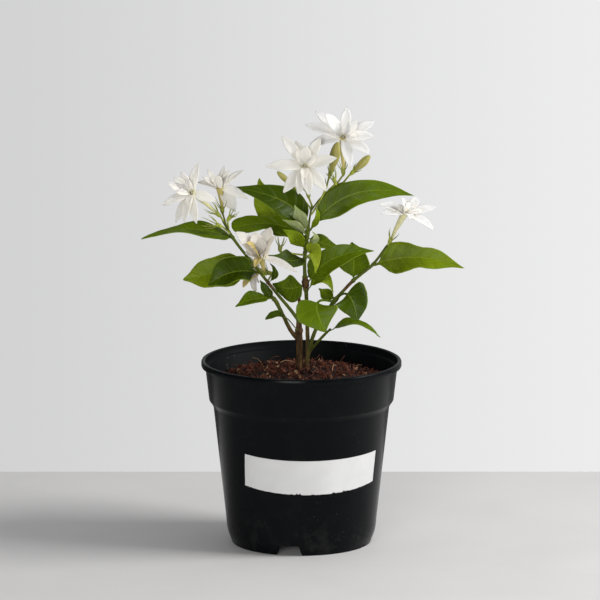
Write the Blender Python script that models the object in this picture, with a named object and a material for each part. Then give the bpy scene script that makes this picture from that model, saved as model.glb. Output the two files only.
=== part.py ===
"""A potted jasmine: a black nursery pot, its potting mix, two rooted stems, leaves and flowers.

The frame has +Z up, +X to the right and -Y towards the front. The origin is on the ground,
on the pot's axis. Sizes below are in millimetres and angles in degrees; the meshes are in metres.
"""
import math
from collections import namedtuple

import bmesh
import bpy
from mathutils import Matrix, Vector, noise

MM = 0.001
GAP = 0.3
UP = Vector((0, 0, 1))

# Pot
POT_HEIGHT = 120.0
RIM_RADIUS = 65.0
LIP_HEIGHT = 4.2
RIM_INNER_RADIUS = 62.5
COLLAR_TOP_RADIUS = 62.3
COLLAR_BOTTOM = 93.4
COLLAR_BOTTOM_RADIUS = 59.8
STEP_BOTTOM = 90.1
BODY_TOP_RADIUS = 57.2
FOOT_TOP = 14.1
FOOT_TOP_RADIUS = 48.8
FOOT_RADIUS = 45.3
WALL = 1.8
FLOOR_UNDERSIDE = 7.0
FLOOR_TOP = 9.0
FOOT_RING_WIDTH = 1.9
POT_SIDES = 48

# Notches in the foot ring, and the drain holes in the raised floor
NOTCH_COUNT = 3
NOTCH_ANGLE = -10.3
NOTCH_HEIGHT = 6.7
NOTCH_BOTTOM_WIDTH = 17.2
NOTCH_TOP_WIDTH = 13.8
NICK_ANGLE = 62.0
NICK_WIDTH = 2.5
NICK_HEIGHT = 1.6
DRAIN_COUNT = 6
DRAIN_RADIUS = 4.0
DRAIN_CIRCLE_RADIUS = 31.0
DRAIN_START_ANGLE = 34.0

# Paper label round the front of the pot
LABEL_LEFT_TOP = -41.5
LABEL_LEFT_BOTTOM = -43.6
LABEL_RIGHT = 61.0
LABEL_TOP = 64.5
LABEL_BOTTOM = 41.7
LABEL_THICKNESS = 0.35
LABEL_COLUMNS = 20
LABEL_ROWS = 3

# Potting mix
MIX_CENTRE_HEIGHT = 114.5
MIX_EDGE_HEIGHT = 106.0
MIX_ROUGHNESS = 0.9
MIX_SIDES = 32
MIX_RINGS = 6

# Stems: where the roots end, and how finely the routes are followed
ROOT_DEPTH = 88.0
STEM_STEP = 5.0

# Leaves: a narrow stalk, then the blade
BLADE_THICKNESS = 0.5
BLADE_ROWS = 7
BLADE_COLUMNS = 4
PETIOLE_WIDTH = 1.2
PETIOLE_SHARE = 0.1
BLADE_FULLNESS = 2.2
TIP_HALF_WIDTH = 0.25

# Flowers: a stalk and cup, and a corolla whose tube opens into petals. The petal sections give
# the place along the petal and the share of its width there.
PEDICEL_RADIUS = 0.55
CUP_RADIUS = 1.75
CUP_RECESS_RADIUS = 1.3
CUP_DEPTH = 2.0
CUP_SIDES = 5
TUBE_RADIUS = 0.7
TUBE_MIDDLE_RADIUS = 1.1
THROAT_RADIUS = 2.7
PETAL_THICKNESS = 0.5
PETAL_ARCH = 1.6
PETAL_SECTIONS = ((0.28, 0.62), (0.58, 1.0), (0.84, 0.72), (1.0, 0.12))
BUD_SIDES = 8

# Stem routes: x, y, z and radius at each point that was chosen by hand
ROUTES = {
    "woody": [
        (-1.2, 0, ROOT_DEPTH, 2.0), (-1.1, 0, 115, 2.2), (-1.0, 0, 123, 2.3), (-1.2, -0.5, 131, 2.3),
        (-1.5, -1, 139, 2.1), (-1.5, -1, 147, 1.8), (-1.0, -1, 154.5, 1.4), (-1.5, -1, 161, 1.0)],
    "left_long": [
        (-1.5, -1, 145.5, 1.2), (-7.5, -2, 154, 1.2), (-14, -3, 162, 1.1), (-20.5, -4.5, 170.5, 1.1),
        (-27, -6, 179, 1.0), (-33.5, -7, 187.5, 1.0), (-40, -8.5, 196, 1.0), (-45, -10, 203.5, 1.1),
        (-48, -11, 209, 0.9), (-50.5, -11.5, 213.5, 0.8)],
    "left_short": [
        (-1.5, -1, 132.5, 1.4), (-7, -3, 140, 1.4), (-11, -5, 148.5, 1.3), (-14.5, -6.5, 156, 1.3),
        (-16.5, -7, 160, 1.5), (-19.5, -8, 163.5, 0.8)],
    "centre": [
        (3.6, 0, ROOT_DEPTH, 1.6), (3.6, 0, 115, 1.7), (4.0, 0, 126.5, 1.6), (4.0, 0.5, 136, 1.4),
        (3.7, 1, 146, 1.3), (3.4, 1.5, 158, 1.3), (3.0, 1.5, 165.5, 1.5), (2.6, 1.5, 170.5, 2.2),
        (2.3, 1.5, 175, 1.4), (2.1, 1.5, 182, 1.2), (2.5, 1.5, 192, 1.2), (3.5, 1, 199, 1.2),
        (4.0, 1, 204.5, 1.3), (5.0, 1, 210.5, 0.8), (6.0, 1, 217.5, 0.7), (6.8, 1, 221.5, 0.7)],
    "right_long": [
        (4.0, 0, 120.5, 1.3), (6, -1, 130.5, 1.3), (9, -2, 139.5, 1.3), (12.5, -3, 147, 1.2),
        (17, -4, 153.5, 1.2), (21.5, -5, 160, 1.4), (27, -6, 166.5, 1.1), (33, -6.5, 173, 1.2),
        (39.5, -7, 178.5, 1.0), (45.5, -7.5, 183.5, 1.1), (49.5, -8, 188.5, 0.9), (53, -8, 193.5, 0.9),
        (55.6, -8, 197, 0.9)],
    "right_low": [
        (4.0, 0, 123, 1.0), (7, -1, 127.5, 1.0), (11, -4, 133, 1.0), (15.5, -7, 138.5, 0.9),
        (19, -9, 142, 0.8)],
    "cluster_right": [
        (6.0, 1, 217.5, 0.6), (11, 2, 224.5, 0.6), (17.5, 2.5, 231, 0.6), (23.5, 2.5, 235, 0.6),
        (27.5, 2, 236.5, 0.6)],
}
ROOTED_STEMS = {
    "stem_woody": ["woody", "left_long", "left_short"],
    "stem_centre": ["centre", "right_long", "right_low", "cluster_right"],
}

# A leaf grows from a height on a route, passes its via point half way and ends at its tip.
# facing is the way its upper face looks, fold lifts both halves from the midrib.
Leaf = namedtuple("Leaf", "name route height via tip width facing fold wave", defaults=(12, 0.4))
LEAVES = [
    Leaf("leaf_far_left", "left_long", 202.5, (-72, -16, 209), (-103, -20, 203.5),
         15, (0.1, -0.35, 0.93), 8, 0.8),
    Leaf("leaf_left_back", "left_long", 183, (-55, -4, 178.5), (-76.5, -2, 173), 22, (-0.1, -0.95, 0.3)),
    Leaf("leaf_left_folded", "left_long", 175, (-45, -15, 180.5), (-60, -14, 171.5),
         22, (0, -0.9, 0.45), 25, 0.6),
    Leaf("leaf_upper_left", "centre", 206.5, (-11, -3, 224.5), (-44.5, -9, 235), 19, (-0.1, -0.85, 0.5)),
    Leaf("leaf_upper_left_back", "centre", 203.5, (-16, 16, 214), (-27, 20, 236), 19, (0.2, -0.95, 0.2)),
    Leaf("leaf_wavy_left", "centre", 200, (-17, 1, 209), (-45, -4, 209), 12, (0, -0.8, 0.6), 10, 1.6),
    Leaf("leaf_bright_left", "centre", 193, (-3.5, -4, 201), (-11.5, -6, 207), 9, (-0.3, -0.9, 0.2)),
    Leaf("leaf_upper_right", "centre", 204.5, (33, -0.5, 229), (72.5, 1, 228),
         18, (0.1, -0.93, 0.35), 8, 0.8),
    Leaf("leaf_middle_right", "centre", 171, (22, -9, 189), (47, -12, 194),
         15, (0.2, -0.8, 0.55), 15, 0.6),
    Leaf("leaf_middle_right_back", "centre", 200, (14.5, -1, 197), (31.5, 1, 190), 8, (0.2, -0.6, 0.8)),
    Leaf("leaf_right_upright", "right_long", 173.5, (34, 4, 186), (32, 9, 199.5), 17, (0, -0.95, 0.3)),
    Leaf("leaf_far_right", "right_long", 184.5, (72, -13, 189), (105, -16, 183.5),
         21, (0, -0.9, 0.4), 10, 1.2),
    Leaf("leaf_middle_left", "centre", 187, (-9.5, -9, 189), (-21.5, -13, 191.5),
         11, (-0.1, -0.6, 0.8), 22),
    Leaf("leaf_yellow", "centre", 190.5, (8.5, -6, 191.5), (10, -8, 180), 9.5, (0.1, -1, 0.1)),
    Leaf("leaf_behind_node", "centre", 174, (7, 5, 176), (5.5, 7, 183), 6, (0.2, -0.9, 0.3)),
    Leaf("leaf_arched_small", "centre", 166.3, (14.5, 0, 173.5), (21, -5, 166), 6.5, (0.3, 0.2, 0.9)),
    Leaf("leaf_broad_left", "centre", 169, (-8.5, 8, 165.5), (-18.5, 12, 168), 17, (-0.1, -1, 0.1)),
    Leaf("leaf_left_small", "left_short", 161.5, (-22.5, -5, 166.5), (-26.5, -4, 173.5),
         6, (-0.2, -0.9, 0.3)),
    Leaf("leaf_left_low", "left_short", 162.5, (-30, -14, 164.5), (-42.5, -18, 158.5),
         12.5, (-0.1, -0.6, 0.75), 25),
    Leaf("leaf_left_tiny", "woody", 139.5, (-12, -15, 151.5), (-23, -17, 150), 5, (0, -0.5, 0.85)),
    Leaf("leaf_front", "right_long", 159, (9, -18, 160), (14, -24, 143.5), 25, (0, -0.85, 0.5)),
    Leaf("leaf_front_back", "right_long", 161, (16.5, -1, 163), (11.5, 1, 167), 8, (0.2, -0.9, 0.3)),
    Leaf("leaf_heart", "right_long", 160.5, (33.5, -15, 163), (37, -17, 149.5), 17, (0.1, -0.9, 0.5), 14),
    Leaf("leaf_low_right", "right_low", 141.5, (36, -16, 147.5), (51, -18, 138.5),
         9, (0, -0.25, 0.95), 14),
    Leaf("leaf_pale_upright", "centre", 205.5, (-0.5, -6, 213.5), (-4, -8, 223.5), 9, (0.1, 0.9, 0.2)),
    Leaf("leaf_pale_side", "centre", 202, (-3.5, -5, 209), (-12, -8, 214), 7, (0, 0.7, 0.7)),
    Leaf("leaf_slim_top", "centre", 205.5, (10, -4, 213.5), (9.3, -3, 221), 5, (0.2, -0.9, 0.3)),
    Leaf("leaf_pale_curl", "centre", 197.5, (9, -7, 200.5), (7.5, -8, 206), 4, (0.1, 0.9, 0.2)),
    Leaf("leaf_slim_left", "left_long", 172, (-17, -2, 177), (-20, -1.5, 184), 4, (-0.2, -0.9, 0.3)),
]

# A flower stalk leaves a height on a route and ends in a cup. The corolla's tube runs from the
# cup to the centre of its face, and each petal ends at a tip measured from that centre.
Flower = namedtuple("Flower", "number route height cup centre facing tips petal_width lobe")
FLOWERS = [
    Flower(1, "left_long", 213.5, (-53.5, -15, 218.5), (-71, -20, 234), (-0.45, -0.8, 0.4), [
        (5, 2, 18.5), (-6, -2, 13.5), (-10.5, -4, 10.5), (-14.5, -5, 6.5), (-18, -6, -7.5),
        (-9.5, -6, -19), (-4, -9, -18), (4, -7, -19.5), (17.5, 2, -9.5)], 4.8, 7),
    Flower(2, "left_long", 210, (-51, -6, 219.5), (-52.5, -12, 236), (-0.1, -0.45, 0.9), [
        (-11, 4, 7), (-6.5, -3, 12), (-0.5, -12, 10.5), (7, -6, 11), (13.5, 2, 5.5),
        (18, 0, -10), (8, -14, -7), (-13, -6, 2), (-3, -11, -7)], 4.2, 7),
    Flower(3, "centre", 221.5, (4.5, -5, 229.5), (2, -14, 250.5), (0, -0.85, 0.5), [
        (-14.5, 2, 18.5), (-5.5, 5, 15), (1, -5, 13.5), (10.5, -1, 18), (21, -2, 5),
        (14.5, -6, -16), (3, -10, -18), (-4, -9, -17.5), (-13.5, -7, -17), (-24.5, -4, 0)], 5.6, 6),
    Flower(4, "cluster_right", 234.3, (27, 0.5, 243.5), (27, -8, 268.5), (0.1, -0.8, 0.6), [
        (-24.5, -1, 7.5), (-18, 3, 15.5), (-11.5, -5, 15.5), (2.5, 0, 19), (9, -7, 11),
        (20.5, 4, 8.5), (20, -3, 0), (17.5, -7, -10.5), (4.5, -9, -19), (-21.5, 4, -6)], 5.4, 6),
    Flower(5, "right_long", 197, (57.2, -8.2, 199.8), (67.5, -13, 220), (0.5, -0.35, 0.8), [
        (-17.5, -7, 6), (-16, -10, 0.5), (-3, -9, 10), (2, 5, 7), (8, 3, 9),
        (19.5, 3, 2), (18, -4, -11.5), (2.5, -13, -2.5)], 5.0, 6),
    Flower(6, "left_long", 176.5, (-23.5, -11, 179.5), (-26, -17, 192), (-0.1, -0.2, 0.97), [
        (6.5, 2, 18), (-4, 0, 17), (-16, -3, 16), (-11.5, -8, 6), (23, -4, -9),
        (12, -8, 12), (-8, -9, -3), (1.5, 9, 11.5)], 7.2, 5),
    Flower(7, "left_long", 172.5, (-20.5, 3.5, 176.5), (-29.5, 1.5, 178.5), (-0.95, -0.3, 0.15), [
        (0, 1, -15), (-8, -6, -10), (2, 10, -10), (-9, 9, 1), (-4, 6, 8), (3, -1, 12)], 4.6, 5),
]

# Buds sit in a cup as a flower does and end in one point; spent cups have lost their flower.
Bud = namedtuple("Bud", "number route height cup tip radius lobe")
BUDS = [
    Bud(8, "cluster_right", 236.5, (33, -1, 243.5), (44.5, -4, 255), 2.6, 5),
    Bud(9, "cluster_right", 229, (18.5, 7, 241), (24, 8, 262), 3.6, 4),
    Bud(10, "centre", 219, (-5.5, 5, 233), (-15.5, 3, 243.5), 2.4, 4),
]
Spent = namedtuple("Spent", "number route height cup aim lobe")
SPENT_CUPS = [
    Spent(11, "centre", 215.5, (15.3, -3, 234), (15, -3, 240), 5),
    Spent(12, "cluster_right", 231.5, (21.5, -2.5, 238), (18, -2, 247), 7),
    Spent(13, "centre", 189, (-13.8, -3, 194), (-13, -2, 201), 8),
    Spent(14, "left_long", 205.5, (-53, -19, 212), (-66, -23, 217), 11),
    Spent(15, "left_long", 208, (-46.5, -9, 215), (-42, -10, 221), 6),
]

# Colour, roughness and metallic value of each finish
FINISHES = {
    "black_plastic": ((0.018, 0.020, 0.024), 0.38, 0.0),
    "label_paper": ((0.62, 0.63, 0.65), 0.80, 0.0),
    "potting_mix": ((0.085, 0.032, 0.024), 0.95, 0.0),
    "bark": ((0.085, 0.060, 0.022), 0.75, 0.0),
    "leaf_green": ((0.055, 0.130, 0.008), 0.32, 0.0),
    "calyx_green": ((0.150, 0.200, 0.030), 0.50, 0.0),
    "petal_white": ((0.860, 0.850, 0.780), 0.55, 0.0),
    "bud_yellow_green": ((0.480, 0.500, 0.160), 0.50, 0.0),
}


def material(finish):
    """The Principled material of a finish, made once."""
    if finish in bpy.data.materials:
        return bpy.data.materials[finish]
    colour, roughness, metallic = FINISHES[finish]
    made = bpy.data.materials.new(finish)
    made.use_nodes = True
    made.diffuse_color = (*colour, 1)
    shader = made.node_tree.nodes["Principled BSDF"]
    shader.inputs["Base Color"].default_value = (*colour, 1)
    shader.inputs["Roughness"].default_value = roughness
    shader.inputs["Metallic"].default_value = metallic
    return made


def object_from_bmesh(name, bm, finish):
    """Turn a bmesh in millimetres into an object in metres."""
    bmesh.ops.scale(bm, vec=(MM, MM, MM), verts=bm.verts)
    mesh = bpy.data.meshes.new(name)
    bm.to_mesh(mesh)
    bm.free()
    made = bpy.data.objects.new(name, mesh)
    bpy.context.collection.objects.link(made)
    mesh.materials.append(material(finish))
    return made


def smooth(made, angle=40):
    made.data.shade_smooth()
    made.data.set_sharp_from_angle(angle=math.radians(angle))


def as_cutter(made):
    made.hide_render = True
    made.display_type = "WIRE"
    return made


def boolean(made, other, operation):
    modifier = made.modifiers.new(operation.title(), "BOOLEAN")
    modifier.operation = operation
    modifier.object = other


def around(angle, radius, z):
    """A point at an angle from the front of the pot, counted towards the right."""
    turn = math.radians(angle)
    return Vector((radius * math.sin(turn), -radius * math.cos(turn), z))


def body_radius(z):
    """Outer radius of the pot's tapered body."""
    share = (z - FOOT_TOP) / (STEP_BOTTOM - FOOT_TOP)
    return FOOT_TOP_RADIUS + share * (BODY_TOP_RADIUS - FOOT_TOP_RADIUS)


def pot_inside():
    """Inner wall of the pot from the rim down to the floor, as radius and height."""
    return [
        (RIM_INNER_RADIUS, POT_HEIGHT - 0.4),
        (RIM_INNER_RADIUS - 0.3, POT_HEIGHT - LIP_HEIGHT),
        (COLLAR_TOP_RADIUS - WALL, POT_HEIGHT - LIP_HEIGHT - 2.2),
        (COLLAR_BOTTOM_RADIUS - WALL, COLLAR_BOTTOM + 1.5),
        (BODY_TOP_RADIUS - WALL, STEP_BOTTOM),
        (FOOT_TOP_RADIUS - WALL, FOOT_TOP),
        (FOOT_TOP_RADIUS - WALL - 1.4, FLOOR_TOP)]


def pot_outside():
    """Outer face of the pot from the rim down to the ground, as radius and height."""
    lip_bottom = POT_HEIGHT - LIP_HEIGHT
    foot_drop = [(0.4, 4.5), (1.0, 7.2), (1.8, 9.5), (2.7, 11.7)]
    foot = [(FOOT_TOP_RADIUS - inset, FOOT_TOP - drop) for inset, drop in foot_drop]
    return [
        (RIM_RADIUS - 0.6, POT_HEIGHT),
        (RIM_RADIUS, POT_HEIGHT - 0.8),
        (RIM_RADIUS, lip_bottom + 0.5),
        (RIM_RADIUS - 0.5, lip_bottom),
        (COLLAR_TOP_RADIUS, lip_bottom - 0.8),
        (COLLAR_BOTTOM_RADIUS, COLLAR_BOTTOM),
        (BODY_TOP_RADIUS, STEP_BOTTOM),
        (FOOT_TOP_RADIUS, FOOT_TOP),
        *foot,
        (FOOT_RADIUS, 0)]


def pot_profile():
    """The whole section of the pot, from the floor's middle up the inside and down the outside."""
    ring_inner = FOOT_RADIUS - FOOT_RING_WIDTH
    underneath = [(ring_inner, 0), (ring_inner + 1.0, FLOOR_UNDERSIDE), (0, FLOOR_UNDERSIDE)]
    return [(0, FLOOR_TOP)] + pot_inside()[::-1] + pot_outside() + underneath


def wedge(name, angle, radius, bottom_width, top_width, height, depth):
    """A cutter through the foot ring: a trapezium that is wider at the ground."""
    bm = bmesh.new()
    below = -1.0
    spread = (bottom_width - top_width) / height
    corners = []
    for z in (below, height):
        half = (bottom_width - spread * z) / 2
        corners += [(-half, -depth, z), (half, -depth, z), (half, depth, z), (-half, depth, z)]
    verts = [bm.verts.new(corner) for corner in corners]
    for ring in ((3, 2, 1, 0), (4, 5, 6, 7), (0, 1, 5, 4), (1, 2, 6, 5), (2, 3, 7, 6), (3, 0, 4, 7)):
        bm.faces.new([verts[i] for i in ring])
    spot = Matrix.Translation(around(angle, radius, 0)) @ Matrix.Rotation(math.radians(angle), 4, "Z")
    bmesh.ops.transform(bm, matrix=spot, verts=bm.verts)
    return as_cutter(object_from_bmesh(name, bm, "black_plastic"))


def drain_cutter(number, angle, circle_radius, hole_radius):
    bm = bmesh.new()
    middle = around(angle, circle_radius, (FLOOR_UNDERSIDE + FLOOR_TOP) / 2)
    bmesh.ops.create_cone(
        bm, cap_ends=True, segments=12, radius1=hole_radius, radius2=hole_radius,
        depth=3 * (FLOOR_TOP - FLOOR_UNDERSIDE), matrix=Matrix.Translation(middle))
    return as_cutter(object_from_bmesh(f"cut_drain_{number}", bm, "black_plastic"))


def make_pot():
    """The pot is its section turned about Z, with notches in the foot and holes in the floor."""
    bm = bmesh.new()
    verts = [bm.verts.new((radius, 0, z)) for radius, z in pot_profile()]
    for first, second in zip(verts, verts[1:]):
        bm.edges.new((first, second))
    pot = object_from_bmesh("pot", bm, "black_plastic")
    turn = pot.modifiers.new("Turn", "SCREW")
    turn.angle = math.tau
    turn.steps = POT_SIDES
    turn.render_steps = POT_SIDES
    turn.use_merge_vertices = True
    turn.merge_threshold = 0.0001
    ring_middle = FOOT_RADIUS - FOOT_RING_WIDTH / 2
    for number in range(NOTCH_COUNT):
        angle = NOTCH_ANGLE + number * 360 / NOTCH_COUNT
        boolean(pot, wedge(
            f"cut_notch_{number + 1}", angle, ring_middle + 1.0, NOTCH_BOTTOM_WIDTH, NOTCH_TOP_WIDTH,
            NOTCH_HEIGHT, 6.0),
            "DIFFERENCE")
    boolean(pot, wedge(
        "cut_nick", NICK_ANGLE, FOOT_RADIUS + 1.0, NICK_WIDTH, NICK_WIDTH * 0.7, NICK_HEIGHT, 2.0),
        "DIFFERENCE")
    for number in range(DRAIN_COUNT):
        angle = DRAIN_START_ANGLE + number * 360 / DRAIN_COUNT
        boolean(pot, drain_cutter(number + 1, angle, DRAIN_CIRCLE_RADIUS, DRAIN_RADIUS), "DIFFERENCE")
    boolean(pot, drain_cutter(DRAIN_COUNT + 1, 0, 0, DRAIN_RADIUS), "DIFFERENCE")
    smooth(pot, 30)


def make_label():
    """A thin curved sheet on the tapered body, its ends a little higher than its middle."""
    bm = bmesh.new()
    bmesh.ops.create_grid(bm, x_segments=LABEL_COLUMNS, y_segments=LABEL_ROWS, size=1)
    for vert in bm.verts:
        across = (vert.co.x + 1) / 2
        height = (vert.co.y + 1) / 2
        bulge = (2 * across - 1) ** 2
        left = LABEL_LEFT_BOTTOM + height * (LABEL_LEFT_TOP - LABEL_LEFT_BOTTOM)
        angle = left + across * (LABEL_RIGHT - left)
        bottom = LABEL_BOTTOM + 3.5 * bulge
        top = LABEL_TOP + (2.0 - 0.8 * across) * bulge
        z = bottom + height * (top - bottom)
        vert.co = around(angle, body_radius(z) + GAP, z)
    label = object_from_bmesh("label", bm, "label_paper")
    sheet = label.modifiers.new("Sheet", "SOLIDIFY")
    sheet.thickness = LABEL_THICKNESS * MM
    sheet.offset = 1
    smooth(label)


def mix_height(radius, angle):
    """Top of the potting mix: a low mound with an uneven surface."""
    share = radius / pot_inside()[2][0]
    mound = MIX_EDGE_HEIGHT + (MIX_CENTRE_HEIGHT - MIX_EDGE_HEIGHT) * (1 - share ** 2)
    spot = around(angle, radius, 0) * 0.12
    return mound + MIX_ROUGHNESS * noise.noise(spot)


def inside_radius(z):
    """Inner radius of the pot at a height."""
    wall = pot_inside()
    for (r_high, z_high), (r_low, z_low) in zip(wall, wall[1:]):
        if z_low <= z <= z_high:
            return r_low + (r_high - r_low) * (z - z_low) / (z_high - z_low)
    return wall[-1][0]


def make_mix():
    """The potting mix fills the pot up to the mound, with a socket for each rooted stem."""
    bm = bmesh.new()
    clearance = 1.5 * GAP
    low = [(radius - clearance, z) for radius, z in pot_inside()[:2:-1]]
    low[0] = (low[0][0], FLOOR_TOP + GAP)
    rings = []
    for radius, z in low:
        rings.append([around(360 * i / MIX_SIDES, radius, z) for i in range(MIX_SIDES)])
    edge = inside_radius(MIX_EDGE_HEIGHT) - clearance
    for ring in range(MIX_RINGS):
        radius = edge * (1 - ring / MIX_RINGS)
        angles = [360 * i / MIX_SIDES for i in range(MIX_SIDES)]
        rings.append([around(angle, radius, mix_height(radius, angle)) for angle in angles])
    loops = [[bm.verts.new(point) for point in ring] for ring in rings]
    for lower, upper in zip(loops, loops[1:]):
        for i in range(MIX_SIDES):
            j = (i + 1) % MIX_SIDES
            bm.faces.new((lower[i], lower[j], upper[j], upper[i]))
    bottom = bm.verts.new((0, 0, FLOOR_TOP + GAP))
    top = bm.verts.new((0, 0, mix_height(0, 0)))
    for i in range(MIX_SIDES):
        j = (i + 1) % MIX_SIDES
        bm.faces.new((loops[0][j], loops[0][i], bottom))
        bm.faces.new((loops[-1][i], loops[-1][j], top))
    mix = object_from_bmesh("potting_mix", bm, "potting_mix")
    for route in ("woody", "centre"):
        boolean(mix, socket_cutter(route), "DIFFERENCE")
    smooth(mix, 60)


def socket_cutter(route):
    """The hole that a rooted stem fills, a gap wider than the stem."""
    bm = bmesh.new()
    x, y, z, radius = ROUTES[route][1]
    bottom = ROOT_DEPTH - GAP
    top = MIX_CENTRE_HEIGHT + 8
    spot = Matrix.Translation((x - 0.05 if route == "woody" else x, y, (bottom + top) / 2))
    bmesh.ops.create_cone(
        bm, cap_ends=True, segments=14, radius1=radius + GAP + 0.3, radius2=radius + GAP + 0.3,
        depth=top - bottom, matrix=spot)
    return as_cutter(object_from_bmesh(f"cut_socket_{route}", bm, "potting_mix"))


def smooth_route(points, step):
    """Points along a smooth curve through the route, each as position and radius."""
    ends = [points[0]] + list(points) + [points[-1]]
    line = []
    for before, first, second, after in zip(ends, ends[1:], ends[2:], ends[3:]):
        length = (Vector(second[:3]) - Vector(first[:3])).length
        count = max(1, round(length / step))
        for i in range(count):
            t = i / count
            line.append([
                0.5 * (2 * b + (c - a) * t + (2 * a - 5 * b + 4 * c - d) * t ** 2
                       + (3 * b - a - 3 * c + d) * t ** 3)
                for a, b, c, d in zip(before, first, second, after)])
    line.append(list(points[-1]))
    return [(Vector(point[:3]), point[3]) for point in line]


def spot_on(route, height):
    """Axis point, direction and radius of a stem where it passes a height."""
    line = smooth_route(ROUTES[route], 1.0)
    for (low, low_radius), (high, high_radius) in zip(line, line[1:]):
        if low.z <= height <= high.z:
            share = (height - low.z) / (high.z - low.z)
            radius = low_radius + share * (high_radius - low_radius)
            return low.lerp(high, share), (high - low).normalized(), radius
    last, radius = line[-1]
    return last, (last - line[-2][0]).normalized(), radius


def grow_point(route, height, target, clearance):
    """Where something that grows towards target leaves a stem, clear of the bark."""
    axis_point, direction, radius = spot_on(route, height)
    tip = Vector(ROUTES[route][-1][:3])
    towards = Vector(target) - axis_point
    if height >= tip.z - 0.01:
        return tip + direction * (GAP + clearance)
    outwards = (towards - direction * towards.dot(direction)).normalized()
    return axis_point + outwards * (radius + GAP + clearance)


def make_branch(name, route):
    """One stem as a round tube of changing thickness."""
    curve = bpy.data.curves.new(name, "CURVE")
    curve.dimensions = "3D"
    curve.bevel_depth = MM
    curve.bevel_resolution = 2
    curve.use_fill_caps = True
    line = smooth_route(ROUTES[route], STEM_STEP)
    spline = curve.splines.new("POLY")
    spline.points.add(len(line) - 1)
    for point, (position, radius) in zip(spline.points, line):
        point.co = (*(position * MM), 1)
        point.radius = radius
    drawn = bpy.data.objects.new(name + "_curve", curve)
    bpy.context.collection.objects.link(drawn)
    bpy.context.view_layer.update()
    evaluated = drawn.evaluated_get(bpy.context.evaluated_depsgraph_get())
    mesh = bpy.data.meshes.new_from_object(evaluated)
    bpy.data.objects.remove(drawn)
    mesh.materials.clear()
    mesh.materials.append(material("bark"))
    made = bpy.data.objects.new(name, mesh)
    bpy.context.collection.objects.link(made)
    return made


def make_stems():
    """Each rooted stem is its main stem united with the branches that grow from it."""
    for name, routes in ROOTED_STEMS.items():
        stem = make_branch(name, routes[0])
        for route in routes[1:]:
            boolean(stem, as_cutter(make_branch("branch_" + route, route)), "UNION")
        smooth(stem, 60)


def bent_line(start, control, end):
    """A quadratic curve from start to end, drawn towards control; gives point and direction."""
    def at(t):
        point = (1 - t) ** 2 * start + 2 * t * (1 - t) * control + t ** 2 * end
        direction = (1 - t) * (control - start) + t * (end - control)
        return point, direction.normalized()
    return at


def curve_through(start, via, tip):
    """A bent line from start to tip that passes via half way."""
    start, via, tip = Vector(start), Vector(via), Vector(tip)
    return bent_line(start, 2 * via - (start + tip) / 2, tip)


def blade_half_width(t, width):
    """Half the leaf's width at t along it: a narrow stalk, a full blade and a drawn-out tip."""
    if t <= PETIOLE_SHARE:
        return PETIOLE_WIDTH / 2
    share = (t - PETIOLE_SHARE) / (1 - PETIOLE_SHARE)
    outline = BLADE_FULLNESS * math.sqrt(share) * (1 - share) ** 0.85 * (1 + 0.25 * share)
    half_width = PETIOLE_WIDTH / 2 * (1 - share) + (width - PETIOLE_WIDTH) / 2 * outline
    return max(TIP_HALF_WIDTH, half_width)


def make_leaf(leaf):
    """A leaf is a grid shaped round its midrib and given its thickness."""
    start = grow_point(leaf.route, leaf.height, leaf.via, PETIOLE_WIDTH / 2)
    midrib = curve_through(start, leaf.via, leaf.tip)
    facing = Vector(leaf.facing).normalized()
    bm = bmesh.new()
    bmesh.ops.create_grid(bm, x_segments=BLADE_COLUMNS, y_segments=BLADE_ROWS, size=1)
    for vert in bm.verts:
        across = vert.co.x
        t = ((vert.co.y + 1) / 2) ** 0.9
        point, direction = midrib(t)
        side = direction.cross(facing).normalized()
        face = side.cross(direction)
        half = blade_half_width(t, leaf.width)
        fold = math.radians(leaf.fold) * math.sin(math.pi * t)
        ripple = leaf.wave * math.sin(9 * t + 2 * across) * abs(across) * math.sin(math.pi * t)
        lift = abs(across) * half * math.sin(fold) + ripple
        vert.co = point + side * across * half * math.cos(fold) + face * lift
    bmesh.ops.recalc_face_normals(bm, faces=bm.faces)
    made = object_from_bmesh(leaf.name, bm, "leaf_green")
    blade = made.modifiers.new("Blade", "SOLIDIFY")
    blade.thickness = BLADE_THICKNESS * MM
    blade.offset = 0
    smooth(made, 50)


def ring_frame(direction, hint):
    """Two directions across a path, the first as near to hint as it can be."""
    first = (hint - direction * hint.dot(direction)).normalized()
    return first, direction.cross(first)


def even_angles(sides):
    return [math.tau * i / sides for i in range(sides)]


def add_ring(bm, centre, direction, hint, radius, angles):
    first, second = ring_frame(direction, hint)
    return [
        bm.verts.new(centre + radius * (math.cos(angle) * first + math.sin(angle) * second))
        for angle in angles]


def join_rings(bm, rings):
    """Close a run of rings into one skin with a cap at each end; gives the faces of each band."""
    bands = []
    for lower, upper in zip(rings, rings[1:]):
        count = len(lower)
        bands.append([
            bm.faces.new((lower[i], lower[(i + 1) % count], upper[(i + 1) % count], upper[i]))
            for i in range(count)])
    bm.faces.new(rings[0][::-1])
    bm.faces.new(rings[-1])
    return bands


def extrude_to(bm, face, sections):
    """Extrude a four-sided face through sections of centre, side, lift, half width and half thickness."""
    face.normal_update()
    side, lift = face.normal.cross(sections[0][2]), sections[0][2]
    for centre, next_side, next_lift, half_width, half_thickness in sections:
        face = bmesh.ops.extrude_discrete_faces(bm, faces=[face])["faces"][0]
        corners = list(face.verts)
        first = max(range(4), key=lambda i: corners[i].co.dot(side + lift))
        for step, (across, up) in enumerate(((1, 1), (1, -1), (-1, -1), (-1, 1))):
            offset = next_side * across * half_width + next_lift * up * half_thickness
            corners[(first + step) % 4].co = centre + offset
        side, lift = next_side, next_lift


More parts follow.
